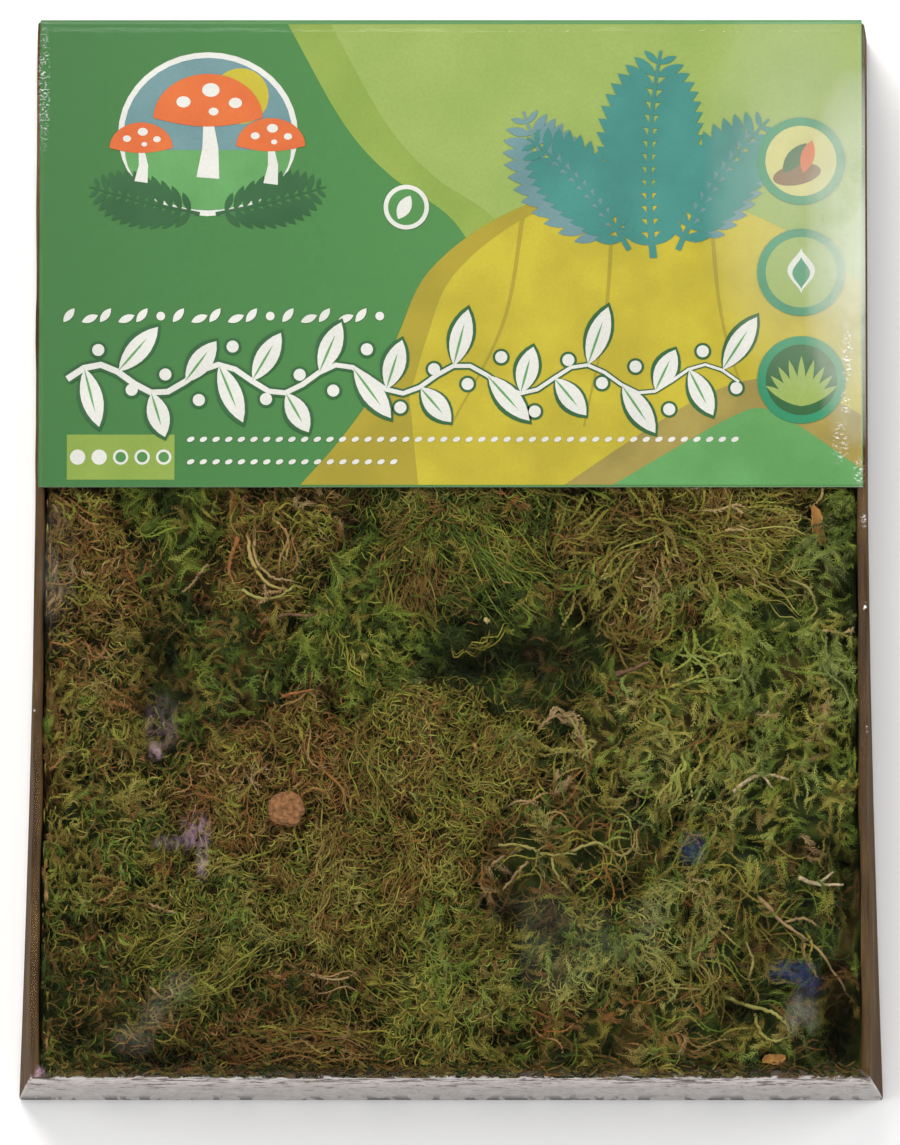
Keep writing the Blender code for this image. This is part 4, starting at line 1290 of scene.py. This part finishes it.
def keep_inside(rng, path):
    """Keeps paths between the tray's walls and under the film and the card"""
    inset = rng.uniform(0.0004, 0.0022, (len(path), 1))
    wall = half_width(path[..., 1], TRAY_TOP) - BOARD - inset
    path[..., 0] = np.clip(path[..., 0], -wall, wall)
    end = RIM_LENGTH / 2 - BOARD - inset
    path[..., 1] = np.clip(path[..., 1], -RIM_LENGTH / 2 + inset * NEAR_OVERHANG, end)
    over_rim = path[..., 1] < -RIM_LENGTH / 2 + BOARD + 0.0004
    path[..., 2] = np.where(over_rim, np.maximum(path[..., 2], TRAY_TOP + 0.0002), path[..., 2])
    under_card = share_between(path[..., 1], CARD_EDGE_Y - 0.004, CARD_EDGE_Y - 0.001)
    ceiling = mix(MOSS_CEILING, CARD_CEILING, under_card) - rng.uniform(0, 0.0005, (len(path), 1))
    path[..., 2] = np.clip(path[..., 2], MOSS_FLOOR, ceiling)
    return path


def grow_style(rng, bundle, number, key, density_share):
    """Locks of strands of one style on one tuft"""
    _, _, _, _, flow, tones, brightness = TUFTS[number]
    style = STYLES[key]
    x, y = lock_starts(rng, number, style["density"] * density_share / style["lock"])
    locks = len(x)
    if not locks:
        return
    heading = flow_angle(flow, x, y) + math.radians(flow[2]) * rng.normal(0, 1, locks)
    curl = style["curl"] * rng.normal(0, 1, locks)
    tone = np.array([TONES[name][0] for name in choose(rng, tones, locks)])
    layer = 0.0012 - 0.0042 * rng.uniform(0, 1, locks) ** 1.3
    bright = rng.normal(0, 0.055, locks)
    reach = rng.uniform(0, 1, locks)

    each = np.repeat(np.arange(locks), style["lock"])
    count = len(each)
    near = style["lock_size"] * rng.normal(0, 1, (2, count))
    start_x = x[each] + near[0]
    start_y = y[each] + near[1]
    heading = heading[each] + rng.normal(0, 0.32, count)
    curl = curl[each] + rng.normal(0, 0.6, count)
    tone = tone[each] + rng.normal(0, TONE_SPREAD, count) + TONE_DRIFT * waves(start_x, start_y, 0.013, 51)
    layer = layer[each] + rng.normal(0, 0.0004, count)
    low, high = style["length"]
    length = mix(low, high, np.clip(reach[each] + rng.normal(0, 0.2, count), 0, 1))

    points = style["joints"]
    along = np.linspace(0, 1, points)
    rate = rng.uniform(4, 10, (count, 1))
    phase = rng.uniform(0, math.tau, (count, 1))
    turn = heading[:, None] + curl[:, None] * along + style["wiggle"] * np.sin(rate * along + phase)
    step = length[:, None] / (points - 1)
    path_x = start_x[:, None] + np.cumsum(np.cos(turn), axis=1) * step
    path_y = start_y[:, None] + np.cumsum(np.sin(turn), axis=1) * step
    middle = points // 2
    path_x = path_x - (path_x[:, middle] - start_x)[:, None]
    path_y = path_y - (path_y[:, middle] - start_y)[:, None]
    lift = style["lift"] * rng.uniform(0.2, 1.6, (count, 1))
    path_z = moss_height(path_x, path_y) + layer[:, None] + lift * np.sin(math.pi * along)
    path_z = path_z - 0.0030 * (1 - along) ** 5 - 0.0008 * along ** 4
    path_z = path_z + 0.0003 * np.sin(rate * 1.3 * along + phase * 2)
    path = keep_inside(rng, np.stack([path_x, path_y, path_z], axis=-1))

    # Painted shade: strands that lie lower in the moss are darker
    deep = np.clip((MOSS_TOP + 0.001 - path[:, middle, 2]) / 0.006, 0, 1)
    light = 0.64 + brightness + bright[each] - 0.36 * deep + rng.normal(0, 0.05, count)
    light = light + LIGHT_DRIFT * waves(start_x, start_y, 0.017, 52) + area_light(start_x, start_y)
    roll = rng.normal(0, 0.5, count)
    width = style["stem"] * rng.uniform(0.7, 1.3, count)
    add_ribbons(bundle, path, width, roll, tone, light, style["folded"])
    if style["leaf"]:
        add_leaves(bundle, rng, path, style, roll, tone, light)


def add_mat(bundle, node, number):
    """The tuft's inside: the node's solid with its top cut fine and lowered, painted dark as shade"""
    work = bmesh.new()
    work.from_mesh(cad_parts[node].data)
    bmesh.ops.remove_doubles(work, verts=work.verts, dist=0.00002)
    for _ in range(4):
        tops = [f for f in work.faces if f.normal.z > 0.5]
        edges = {e for f in tops for e in f.edges if e.calc_length() > 0.0034}
        if not edges:
            break
        bmesh.ops.subdivide_edges(work, edges=list(edges), cuts=1)
        bmesh.ops.triangulate(work, faces=[f for f in work.faces if len(f.verts) > 3])
    bmesh.ops.triangulate(work, faces=work.faces)
    work.verts.ensure_lookup_table()
    places = np.array([v.co[:] for v in work.verts])
    faces = np.array([[v.index for v in f.verts] for f in work.faces])
    work.free()
    x, y, z = places.T
    rough = 0.0007 * waves(x, y, 0.0045, 41 + number) + 0.0004 * waves(x, y, 0.0019, 42 + number)
    lowered = np.minimum(z, moss_height(x, y) - MAT_DEPTH + rough)
    places[:, 2] = np.where(z > 0.020, np.maximum(lowered, MOSS_FLOOR + 0.004), z)
    tones = 0.12 + 0.10 * waves(x, y, 0.006, 43) + 0.45 * (waves(x, y, 0.015, 44) > 0.5)
    # Low lightness: the mat is painted dark as the shade inside the tuft
    bundle.add(places, faces, tones, 0.13 + 0.07 * waves(x, y, 0.0032, 45))


# Strands that stand out: tuft, style, tone, strands, spread, width, lightness and route
WISPS = [
    (4, "hair", "green", 90, 0.0040, 0.00032, 0.78, [(-0.004, 0.012), (0.006, -0.001), (0.024, -0.019)]),
    (4, "hair", "bright", 50, 0.0030, 0.00030, 0.80, [(0.004, 0.013), (0.014, 0.000), (0.028, -0.013)]),
    (4, "hair", "olive", 70, 0.0042, 0.00032, 0.74, [(-0.006, 0.009), (-0.013, -0.004), (-0.016, -0.021)]),
    (4, "hair", "brown", 60, 0.0040, 0.00034, 0.92, [(-0.004, 0.006), (-0.008, -0.006), (-0.006, -0.022)]),
    (4, "hair", "yellow", 14, 0.0008, 0.00042, 0.72,
     [(-0.0015, -0.024), (0.005, -0.025), (0.0145, -0.018)]),
    (3, "hair", "yellow", 12, 0.0009, 0.00050, 0.74,
     [(-0.0290, -0.009), (-0.0285, -0.017), (-0.0270, -0.030)]),
    (3, "hair", "yellow", 10, 0.0008, 0.00045, 0.72,
     [(-0.0270, -0.022), (-0.0210, -0.033), (-0.0130, -0.036)]),
    (5, "cord", "olive", 16, 0.0022, 0.00046, 0.90,
     [(0.062, 0.004), (0.047, 0.001), (0.034, -0.009), (0.030, -0.020)]),
    (5, "cord", "yellow", 12, 0.0022, 0.00044, 0.78, [(0.044, 0.004), (0.038, -0.006), (0.036, -0.020)]),
    (5, "cord", "brown", 12, 0.0020, 0.00044, 0.98, [(0.050, 0.000), (0.052, -0.009), (0.048, -0.019)]),
    (5, "cord", "olive", 14, 0.0016, 0.00046, 0.92, [(0.050, 0.007), (0.060, -0.003), (0.068, -0.019)]),
    (5, "feather", "green", 6, 0.0007, 0.00030, 0.92,
     [(0.0515, -0.0170), (0.0560, -0.0125), (0.0606, -0.0098)]),
    (5, "feather", "bright", 5, 0.0009, 0.00030, 0.96,
     [(0.0505, -0.0110), (0.0535, -0.0128), (0.0550, -0.0160)]),
    (6, "hair", "yellow", 50, 0.0034, 0.00030, 0.82, [(0.058, 0.001), (0.075, 0.002), (0.091, -0.005)]),
    (6, "cord", "olive", 16, 0.0030, 0.00040, 0.84, [(0.060, 0.010), (0.074, 0.009), (0.089, 0.003)]),
    (6, "hair", "olive", 40, 0.0030, 0.00034, 0.90, [(0.060, -0.003), (0.076, -0.006), (0.089, -0.009)]),
    (12, "hair", "yellow", 50, 0.0042, 0.00034, 0.84, [(0.018, -0.037), (0.014, -0.046), (0.004, -0.057)]),
    (12, "hair", "olive", 50, 0.0044, 0.00032, 0.84,
     [(-0.024, -0.040), (-0.023, -0.055), (-0.016, -0.072)]),
    (12, "hair", "brown", 30, 0.0040, 0.00032, 0.72,
     [(-0.012, -0.040), (-0.006, -0.050), (-0.006, -0.066)]),
    (12, "hair", "yellow", 10, 0.0007, 0.00050, 0.78,
     [(0.000, -0.0570), (0.0027, -0.0620), (0.0086, -0.0690)]),
    (17, "hair", "yellow", 34, 0.0034, 0.00030, 0.74,
     [(-0.076, -0.116), (-0.058, -0.108), (-0.042, -0.096)]),
    (17, "hair", "olive", 34, 0.0034, 0.00030, 0.82,
     [(-0.080, -0.106), (-0.064, -0.098), (-0.052, -0.086)]),
    (18, "hair", "olive", 34, 0.0040, 0.00030, 0.80, [(-0.031, -0.101), (-0.014, -0.108), (0.008, -0.110)]),
    (18, "hair", "brown", 40, 0.0040, 0.00034, 0.88,
     [(-0.026, -0.066), (-0.030, -0.082), (-0.038, -0.096)]),
    (18, "hair", "olive", 36, 0.0040, 0.00034, 0.80,
     [(-0.012, -0.062), (-0.010, -0.078), (-0.018, -0.094)]),
    (23, "curly", "brown", 22, 0.0028, 0.00044, 0.78,
     [(-0.063, -0.126), (-0.040, -0.123), (-0.016, -0.126)]),
    (23, "curly", "olive", 14, 0.0028, 0.00042, 0.72,
     [(-0.060, -0.121), (-0.036, -0.119), (-0.010, -0.121)]),
    (23, "hair", "rust", 12, 0.0026, 0.00036, 0.55, [(-0.056, -0.124), (-0.036, -0.121), (-0.018, -0.123)]),
    (24, "feather", "bright", 16, 0.0030, 0.00032, 0.70,
     [(0.000, -0.098), (-0.004, -0.108), (-0.002, -0.118)]),
    (20, "feather", "green", 14, 0.0030, 0.00032, 0.74,
     [(0.044, -0.088), (0.038, -0.100), (0.030, -0.110)]),
    (9, "cord", "yellow", 10, 0.0018, 0.00044, 0.80, [(0.058, -0.046), (0.055, -0.058), (0.050, -0.070)]),
    (9, "cord", "yellow", 8, 0.0016, 0.00044, 0.80, [(0.046, -0.034), (0.052, -0.042), (0.060, -0.046)]),
    (9, "cord", "pale", 9, 0.0007, 0.00040, 0.66,
     [(0.0214, -0.0447), (0.0262, -0.0414), (0.0300, -0.0428), (0.0344, -0.0516)]),
    (9, "cord", "olive", 8, 0.0008, 0.00040, 0.98,
     [(0.0286, -0.0405), (0.0312, -0.0446), (0.0333, -0.0486), (0.0340, -0.0530)]),
    (8, "feather", "bright", 12, 0.0022, 0.00032, 0.86,
     [(0.070, -0.008), (0.070, -0.018), (0.074, -0.030)]),
]

# Single thick stems: tuft, tone, radius, lightness and route
STEMS = [
    (2, "rust", 0.00055, 0.96,
     [(-0.0500, 0.0040), (-0.0490, -0.0030), (-0.0452, -0.0085), (-0.0400, -0.0105)]),
    (2, "pale", 0.00042, 0.52,
     [(-0.0484, 0.0056), (-0.0478, -0.0030), (-0.0436, -0.0072), (-0.0386, -0.0082)]),
    (2, "pale", 0.00036, 0.48, [(-0.0600, -0.0035), (-0.0630, -0.0075), (-0.0662, -0.0105)]),
    (2, "olive", 0.00040, 0.95,
     [(-0.0520, -0.0100), (-0.0470, -0.0125), (-0.0420, -0.0118), (-0.0380, -0.0090)]),
    (2, "rust", 0.00034, 0.90, [(-0.0440, 0.0080), (-0.0400, 0.0030), (-0.0405, -0.0030)]),
    (6, "pale", 0.00040, 0.72, [(0.0675, 0.0043), (0.0700, 0.0045), (0.0722, 0.0043)]),
    (6, "pale", 0.00045, 0.74, [(0.0685, 0.0108), (0.0704, 0.0098), (0.0722, 0.0086)]),
    (9, "pale", 0.00030, 0.52,
     [(0.0214, -0.0447), (0.0262, -0.0414), (0.0300, -0.0428), (0.0344, -0.0516)]),
    (9, "olive", 0.00030, 0.92,
     [(0.0286, -0.0405), (0.0312, -0.0446), (0.0333, -0.0486), (0.0340, -0.0530)]),
    (10, "pale", 0.00036, 0.78, [(0.0913, -0.0206), (0.0934, -0.0203), (0.0955, -0.0204)]),
    (10, "pale", 0.00034, 0.74, [(0.0968, -0.0208), (0.0984, -0.0204), (0.0996, -0.0200)]),
    (19, "brown", 0.00042, 0.98,
     [(0.0108, -0.0733), (0.0177, -0.0738), (0.0246, -0.0760), (0.0310, -0.0753)]),
    (19, "pale", 0.00036, 0.42, [(0.0101, -0.0787), (0.0135, -0.0760), (0.0182, -0.0743)]),
    (19, "pale", 0.00036, 0.46, [(0.0191, -0.0775), (0.0155, -0.0812), (0.0128, -0.0844)]),
    (19, "brown", 0.00038, 0.98, [(0.0246, -0.0760), (0.0262, -0.0812), (0.0300, -0.0850)]),
    (19, "brown", 0.00040, 0.98,
     [(0.0290, -0.0753), (0.0360, -0.0730), (0.0420, -0.0760), (0.0450, -0.0740)]),
    (21, "pale", 0.00048, 0.44,
     [(0.0756, -0.0864), (0.0816, -0.0925), (0.0900, -0.0990), (0.0982, -0.1105)]),
    (21, "pale", 0.00040, 0.42, [(0.0816, -0.0925), (0.0866, -0.0915), (0.0905, -0.0935)]),
    (21, "pale", 0.00038, 0.42, [(0.0866, -0.0962), (0.0872, -0.1020), (0.0905, -0.1062)]),
    (21, "olive", 0.00062, 0.94,
     [(0.0671, -0.1101), (0.0739, -0.1126), (0.0797, -0.1152), (0.0831, -0.1185)]),
    (21, "olive", 0.00050, 0.88,
     [(0.0747, -0.1140), (0.0760, -0.1198), (0.0797, -0.1219), (0.0831, -0.1205)]),
    (21, "brown", 0.00040, 0.98, [(0.0735, -0.1060), (0.0742, -0.1010), (0.0720, -0.0960)]),
    (17, "pale", 0.00030, 0.60, [(-0.0742, -0.0880), (-0.0705, -0.0893), (-0.0668, -0.0905)]),
    (22, "pale", 0.00036, 0.50,
     [(-0.0735, -0.1085), (-0.0705, -0.1112), (-0.0680, -0.1105), (-0.0690, -0.1078)]),
    (12, "rust", 0.00060, 0.86, [(0.0058, -0.0484), (0.0062, -0.0498), (0.0064, -0.0512)]),
    (4, "pale", 0.00050, 0.90, [(0.0086, -0.0176), (0.0091, -0.0179), (0.0095, -0.0178)]),
    (7, "brown", 0.00034, 0.96,
     [(0.0830, -0.0070), (0.0880, -0.0100), (0.0900, -0.0150), (0.0870, -0.0190)]),
]


def route_through(points, count):
    """COUNT places along a smooth curve through the points"""
    points = np.array(points, dtype=float)
    ends = np.vstack([2 * points[0] - points[1], points, 2 * points[-1] - points[-2]])
    places = np.linspace(0, len(points) - 1.0001, count)
    first = places.astype(int)
    t = (places - first)[:, None]
    a, b, c, d = (ends[first + i] for i in range(4))
    return 0.5 * (2 * b + (c - a) * t + (2 * a - 5 * b + 4 * c - d) * t ** 2
                  + (3 * b - a - 3 * c + d) * t ** 3)


def add_wisp(bundle, rng, number, wisp):
    """Many strands that follow one route, each along its own stretch of it"""
    _, key, tone, count, spread, width, lightness, points = wisp
    style = STYLES[key]
    fine = route_through(points, 60)
    across = unit(np.gradient(fine, axis=0))[:, ::-1] * np.array([-1, 1])
    joints = style["joints"]
    along = np.linspace(0, 1, joints)
    first = rng.uniform(0.0, 0.60, (count, 1))
    last = np.minimum(first + rng.uniform(0.30, 0.60, (count, 1)), 1.0)
    share = (first + (last - first) * along) * 59
    low = np.floor(share).astype(int).clip(0, 58)
    part = (share - low)[..., None]
    middle = fine[low] * (1 - part) + fine[low + 1] * part
    off = spread * rng.normal(0, 1, (count, 1)) * (0.7 + 0.6 * along * rng.uniform(0, 1, (count, 1)))
    phase = rng.uniform(0, math.tau, (count, 1))
    off = off + spread * rng.normal(0, 0.8, (count, 1)) * (along - 0.5)
    off = off + 0.0010 * np.sin(rng.uniform(4, 11, (count, 1)) * along + phase)
    place = middle + across[low] * off[..., None]
    layer = rng.uniform(-0.0006, 0.0014, (count, 1))
    z = moss_height(place[..., 0], place[..., 1]) + layer + 0.0006 * np.sin(math.pi * along)
    z = z - 0.0022 * (1 - along) ** 5 - 0.0008 * along ** 4
    path = keep_inside(rng, np.concatenate([place, z[..., None]], axis=-1))
    tones = TONES[tone][0] + rng.normal(0, 1.4 * TONE_SPREAD, count)
    # Painted shade: wisp strands that lie lower are darker
    lights = lightness - 0.20 + rng.normal(0, 0.07, count) + layer[:, 0] * 50
    lights = lights + area_light(place[:, joints // 2, 0], place[:, joints // 2, 1])
    roll = rng.normal(0, 0.5, count)
    widths = width * rng.uniform(0.45, 1.0, count)
    add_ribbons(bundle, path, widths, roll, tones, lights, style["folded"])
    if style["leaf"]:
        add_leaves(bundle, rng, path, style, roll, tones, lights)


def add_stem(bundle, rng, stem):
    """One thick stem that lies on the moss, its ends tucked in"""
    _, tone, radius, lightness, points = stem
    place = route_through(points, 7 * len(points))
    place = place + rng.normal(0, 0.00012, place.shape)
    along = np.linspace(0, 1, len(place))
    z = moss_height(place[:, 0], place[:, 1]) + 0.0014 + 0.0004 * np.sin(9 * along)
    z = z - 0.0022 * np.abs(2 * along - 1) ** 6
    path = keep_inside(rng, np.column_stack([place, z])[None])[0]
    taper = radius * (1 - 0.45 * along) * (1 + 0.08 * rng.normal(0, 1, len(along)))
    add_tube(bundle, path, taper, TONES[tone][0], lightness)
    tones = np.full(1, TONES[tone][0])
    add_leaves(bundle, rng, path[None], STYLES["stem"], np.zeros(1), tones, np.full(1, lightness))


def make_tuft(number, materials):
    node, slot, _, styles, _, _, _ = TUFTS[number]
    rng = np.random.default_rng(1000 + number)
    bundle = Bundle()
    add_mat(bundle, node, number)
    total = sum(styles.values())
    for key, share in styles.items():
        grow_style(rng, bundle, number, key, share / total)
    for wisp in WISPS:
        if wisp[0] == number:
            add_wisp(bundle, rng, number, wisp)
    for stem in STEMS:
        if stem[0] == number:
            add_stem(bundle, rng, stem)
    mesh = bundle.to_mesh(node + "_strands")
    new_object(node + "_strands", mesh, materials[slot], node)


# Loose bits on the moss

CHIP_GRAIN = 0.0011
BIT_TWIGS = [
    ("reddish_twig", "brown_twig", 0.00052, [[(-0.0459, -0.0180), (-0.0400, -0.0164), (-0.0350, -0.0168),
                                              (-0.0300, -0.0150)]]),
    ("brown_twig", "brown_twig", 0.00068, [[(0.0407, -0.0312), (0.0448, -0.0299), (0.0491, -0.0280)]]),
    ("short_twig", "orange_stem", 0.00044, [[(-0.0415, -0.0366), (-0.0375, -0.0357), (-0.0336, -0.0350)]]),
    ("curved_stem", "orange_stem", 0.00062, [[(-0.0522, 0.0029), (-0.0540, -0.0020), (-0.0545, -0.0060),
                                              (-0.0534, -0.0082)]]),
    ("pale_branch", "pale_twig", 0.00058, [[(0.0695, -0.0602), (0.0740, -0.0568), (0.0780, -0.0560),
                                            (0.0830, -0.0572)], [(0.0768, -0.0562), (0.0790, -0.0592)]]),
    ("pale_root", "pale_twig", 0.00056, [[(0.0854, -0.0812), (0.0900, -0.0830), (0.0965, -0.0830)],
                                         [(0.0900, -0.0829), (0.0925, -0.0812), (0.0940, -0.0800)]]),
]


def bit_height(node):
    low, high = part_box(node)
    return (low[2] + high[2]) / 2


def make_twigs(materials):
    """Each twig, with its forks, as one knotty tube mesh"""
    for number, (node, slot, radius, routes) in enumerate(BIT_TWIGS):
        rng = np.random.default_rng(500 + number)
        bundle = Bundle()
        for fork, route in enumerate(routes):
            place = route_through(route, 8 * len(route))
            along = np.linspace(0, 1, len(place))
            z = bit_height(node) + 0.0003 * np.sin(7 * along + number)
            path = np.column_stack([place + rng.normal(0, 0.00008, place.shape), z])
            taper = radius * (0.75 if fork else 1.0) * (1 - 0.5 * along)
            taper = taper * (1 + 0.10 * rng.normal(0, 1, len(along)))
            add_tube(bundle, path, taper, 0.5, 0.5, 9)
        mesh = bundle.to_mesh(node + "_bit")
        new_object(node + "_bit", mesh, materials[slot], node)


def make_bark_chip():
    """A worn, fibrous chip with layered edges"""
    low, high = (np.array(corner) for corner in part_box("bark_chip"))
    work = bmesh.new()
    bmesh.ops.create_icosphere(work, subdivisions=5, radius=1.0)
    mesh = bpy.data.meshes.new("bark_chip_bit")
    work.to_mesh(mesh)
    work.free()
    ball = values_of(mesh)
    square = ball / (np.abs(ball) ** 2.3).sum(axis=1, keepdims=True) ** (1 / 2.3)
    places = (low + high) / 2 + square * (high - low) / 2 * np.array([0.96, 0.94, 0.90])
    x, y, z = places.T
    grain = waves(x * 0.35 + y * 0.9, z + y, CHIP_GRAIN, 61)
    swell = waves(x, y, 0.0042, 62)
    places = places + ball * (0.00016 * grain + 0.00024 * swell)[:, None]
    places[:, 2] += 0.00028 * waves(x, y, 0.0020, 63)
    places = np.clip(places, low, high)
    set_values(mesh, places)
    mesh.polygons.foreach_set("use_smooth", np.ones(len(mesh.polygons), dtype=bool))
    look = woody_material("bark_look", (0.095, 0.040, 0.014), (0.315, 0.150, 0.060), (0.9, 1.1, 1.0), 820.0)
    new_object("bark_chip_bit", mesh, look, "bark_chip")


def make_leaf_scraps(material):
    """Dry leaf scraps: curled blades with a raised midrib and a ragged edge. The near one lies
    on top of the strands, a little nearer the rim."""
    for number, (node, turn, length, width, shift) in enumerate((
            ("leaf_scrap_far", math.radians(-75), 0.0104, 0.0030, (0.0, 0.0, 0.0)),
            ("leaf_scrap_near", math.radians(10), 0.0058, 0.0026, (0.0, -0.0038, 0.0034)))):
        low, high = (np.array(corner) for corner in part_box(node))
        middle = (low + high) / 2 + np.array(shift)
        along, across = np.meshgrid(np.linspace(0, 1, 40), np.linspace(-1, 1, 15), indexing="ij")
        edge = (np.sin(np.pi * (0.04 + 0.92 * along)) ** 0.6
                * (1 + 0.12 * waves(along, across * 0.2, 0.16, 71)))
        forward = (along - 0.5) * length
        side = across * width / 2 * edge + 0.10 * width * np.sin(along * 7)
        lift = (0.0007 * across ** 2 * edge + 0.0005 * np.sin(along * 5 + number)
                - 0.0002 * np.exp(-(across * 6) ** 2))
        x = middle[0] + forward * math.cos(turn) - side * math.sin(turn)
        y = middle[1] + forward * math.sin(turn) + side * math.cos(turn)
        z = middle[2] + lift
        sheets = [np.stack([x, y, z + rise], axis=-1) for rise in (0.0001, -0.0001)]
        bundle = Bundle()
        index = np.arange(along.size).reshape(along.shape)
        quads = np.stack([index[:-1, :-1], index[1:, :-1], index[1:, 1:], index[:-1, 1:]], axis=-1)
        bundle.add(sheets[0], quads, 0.5 + 0.4 * across, along)
        bundle.add(sheets[1], quads[..., ::-1], 0.5 + 0.4 * across, along)
        rim = np.concatenate([index[:-1, 0], index[-1, :-1], index[:0:-1, -1], index[0, :0:-1]])
        after = np.roll(rim, -1)
        bundle.faces[4].append(np.stack([after, rim, rim + along.size, after + along.size], axis=-1))
        mesh = bundle.to_mesh(node + "_bit")
        new_object(node + "_bit", mesh, material, node)


def make_bits():
    twig_looks = {
        "brown_twig": woody_material("brown_twig_look", (0.070, 0.034, 0.016), (0.180, 0.105, 0.055),
                                     (1.0, 1.0, 1.0), 900.0),
        "orange_stem": woody_material("orange_stem_look", (0.135, 0.048, 0.015), (0.290, 0.120, 0.036),
                                      (1.0, 1.0, 1.0), 900.0),
        "pale_twig": woody_material("pale_twig_look", (0.20, 0.150, 0.075), (0.50, 0.410, 0.240),
                                    (1.0, 1.0, 1.0), 900.0),
    }
    make_twigs(twig_looks)
    make_bark_chip()
    make_leaf_scraps(woody_material("dry_leaf_look", (0.19, 0.085, 0.020), (0.37, 0.190, 0.050),
                                    (1.0, 0.4, 1.0), 700.0))


def make_rim_crumbs(material):
    """Short broken strands that lie on the near rim"""
    rng = np.random.default_rng(77)
    count = 640
    x = rng.uniform(-RIM_WIDTH_NEAR / 2 + 0.003, RIM_WIDTH_NEAR / 2 - 0.003, count)
    y = -RIM_LENGTH / 2 + BOARD * rng.uniform(-0.1, 1.5, count) + 0.0006 * waves(x, 0 * x, 0.012, 81)
    heading = rng.normal(0, 0.5, count) + math.pi * rng.integers(0, 2, count)
    along = np.linspace(-0.5, 0.5, 6)
    length = rng.uniform(0.0010, 0.0046, (count, 1))
    turn = heading[:, None] + rng.normal(0, 0.9, (count, 1)) * along
    path_x = x[:, None] + length * along * np.cos(turn)
    path_y = y[:, None] + length * along * np.sin(turn)
    path_y = np.maximum(path_y, -RIM_LENGTH / 2 + 0.0001)
    z = TRAY_TOP + 0.0003 + rng.uniform(0, 0.0005, (count, 1)) + 0.0002 * np.cos(along * 5)
    path = np.stack([path_x, path_y, z], axis=-1)
    names = {"brown": 6, "olive": 5, "deep": 6}
    tone = np.array([TONES[name][0] for name in choose(rng, names, count)])
    light = 0.26 + rng.normal(0, 0.12, count)
    bundle = Bundle()
    add_ribbons(bundle, path, rng.uniform(0.0003, 0.0007, count), rng.normal(0, 0.6, count),
                tone, light, True)
    new_object("rim_crumbs", bundle.to_mesh("rim_crumbs"), material)


def make_moss():
    names = sorted({tuft[1] for tuft in TUFTS})
    materials = {name: moss_material(name + "_look", 0.62 + 0.04 * i) for i, name in enumerate(names)}
    for number in range(len(TUFTS)):
        make_tuft(number, materials)
    make_rim_crumbs(materials["stem_moss"])


def main():
    add_camera()
    add_light()
    add_floor()
    make_tray()
    make_film()
    make_film_reflections()
    make_moss()
    make_bits()
    draw_card()
    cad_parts["header_card"].material_slots[0].material = card_material()


main()
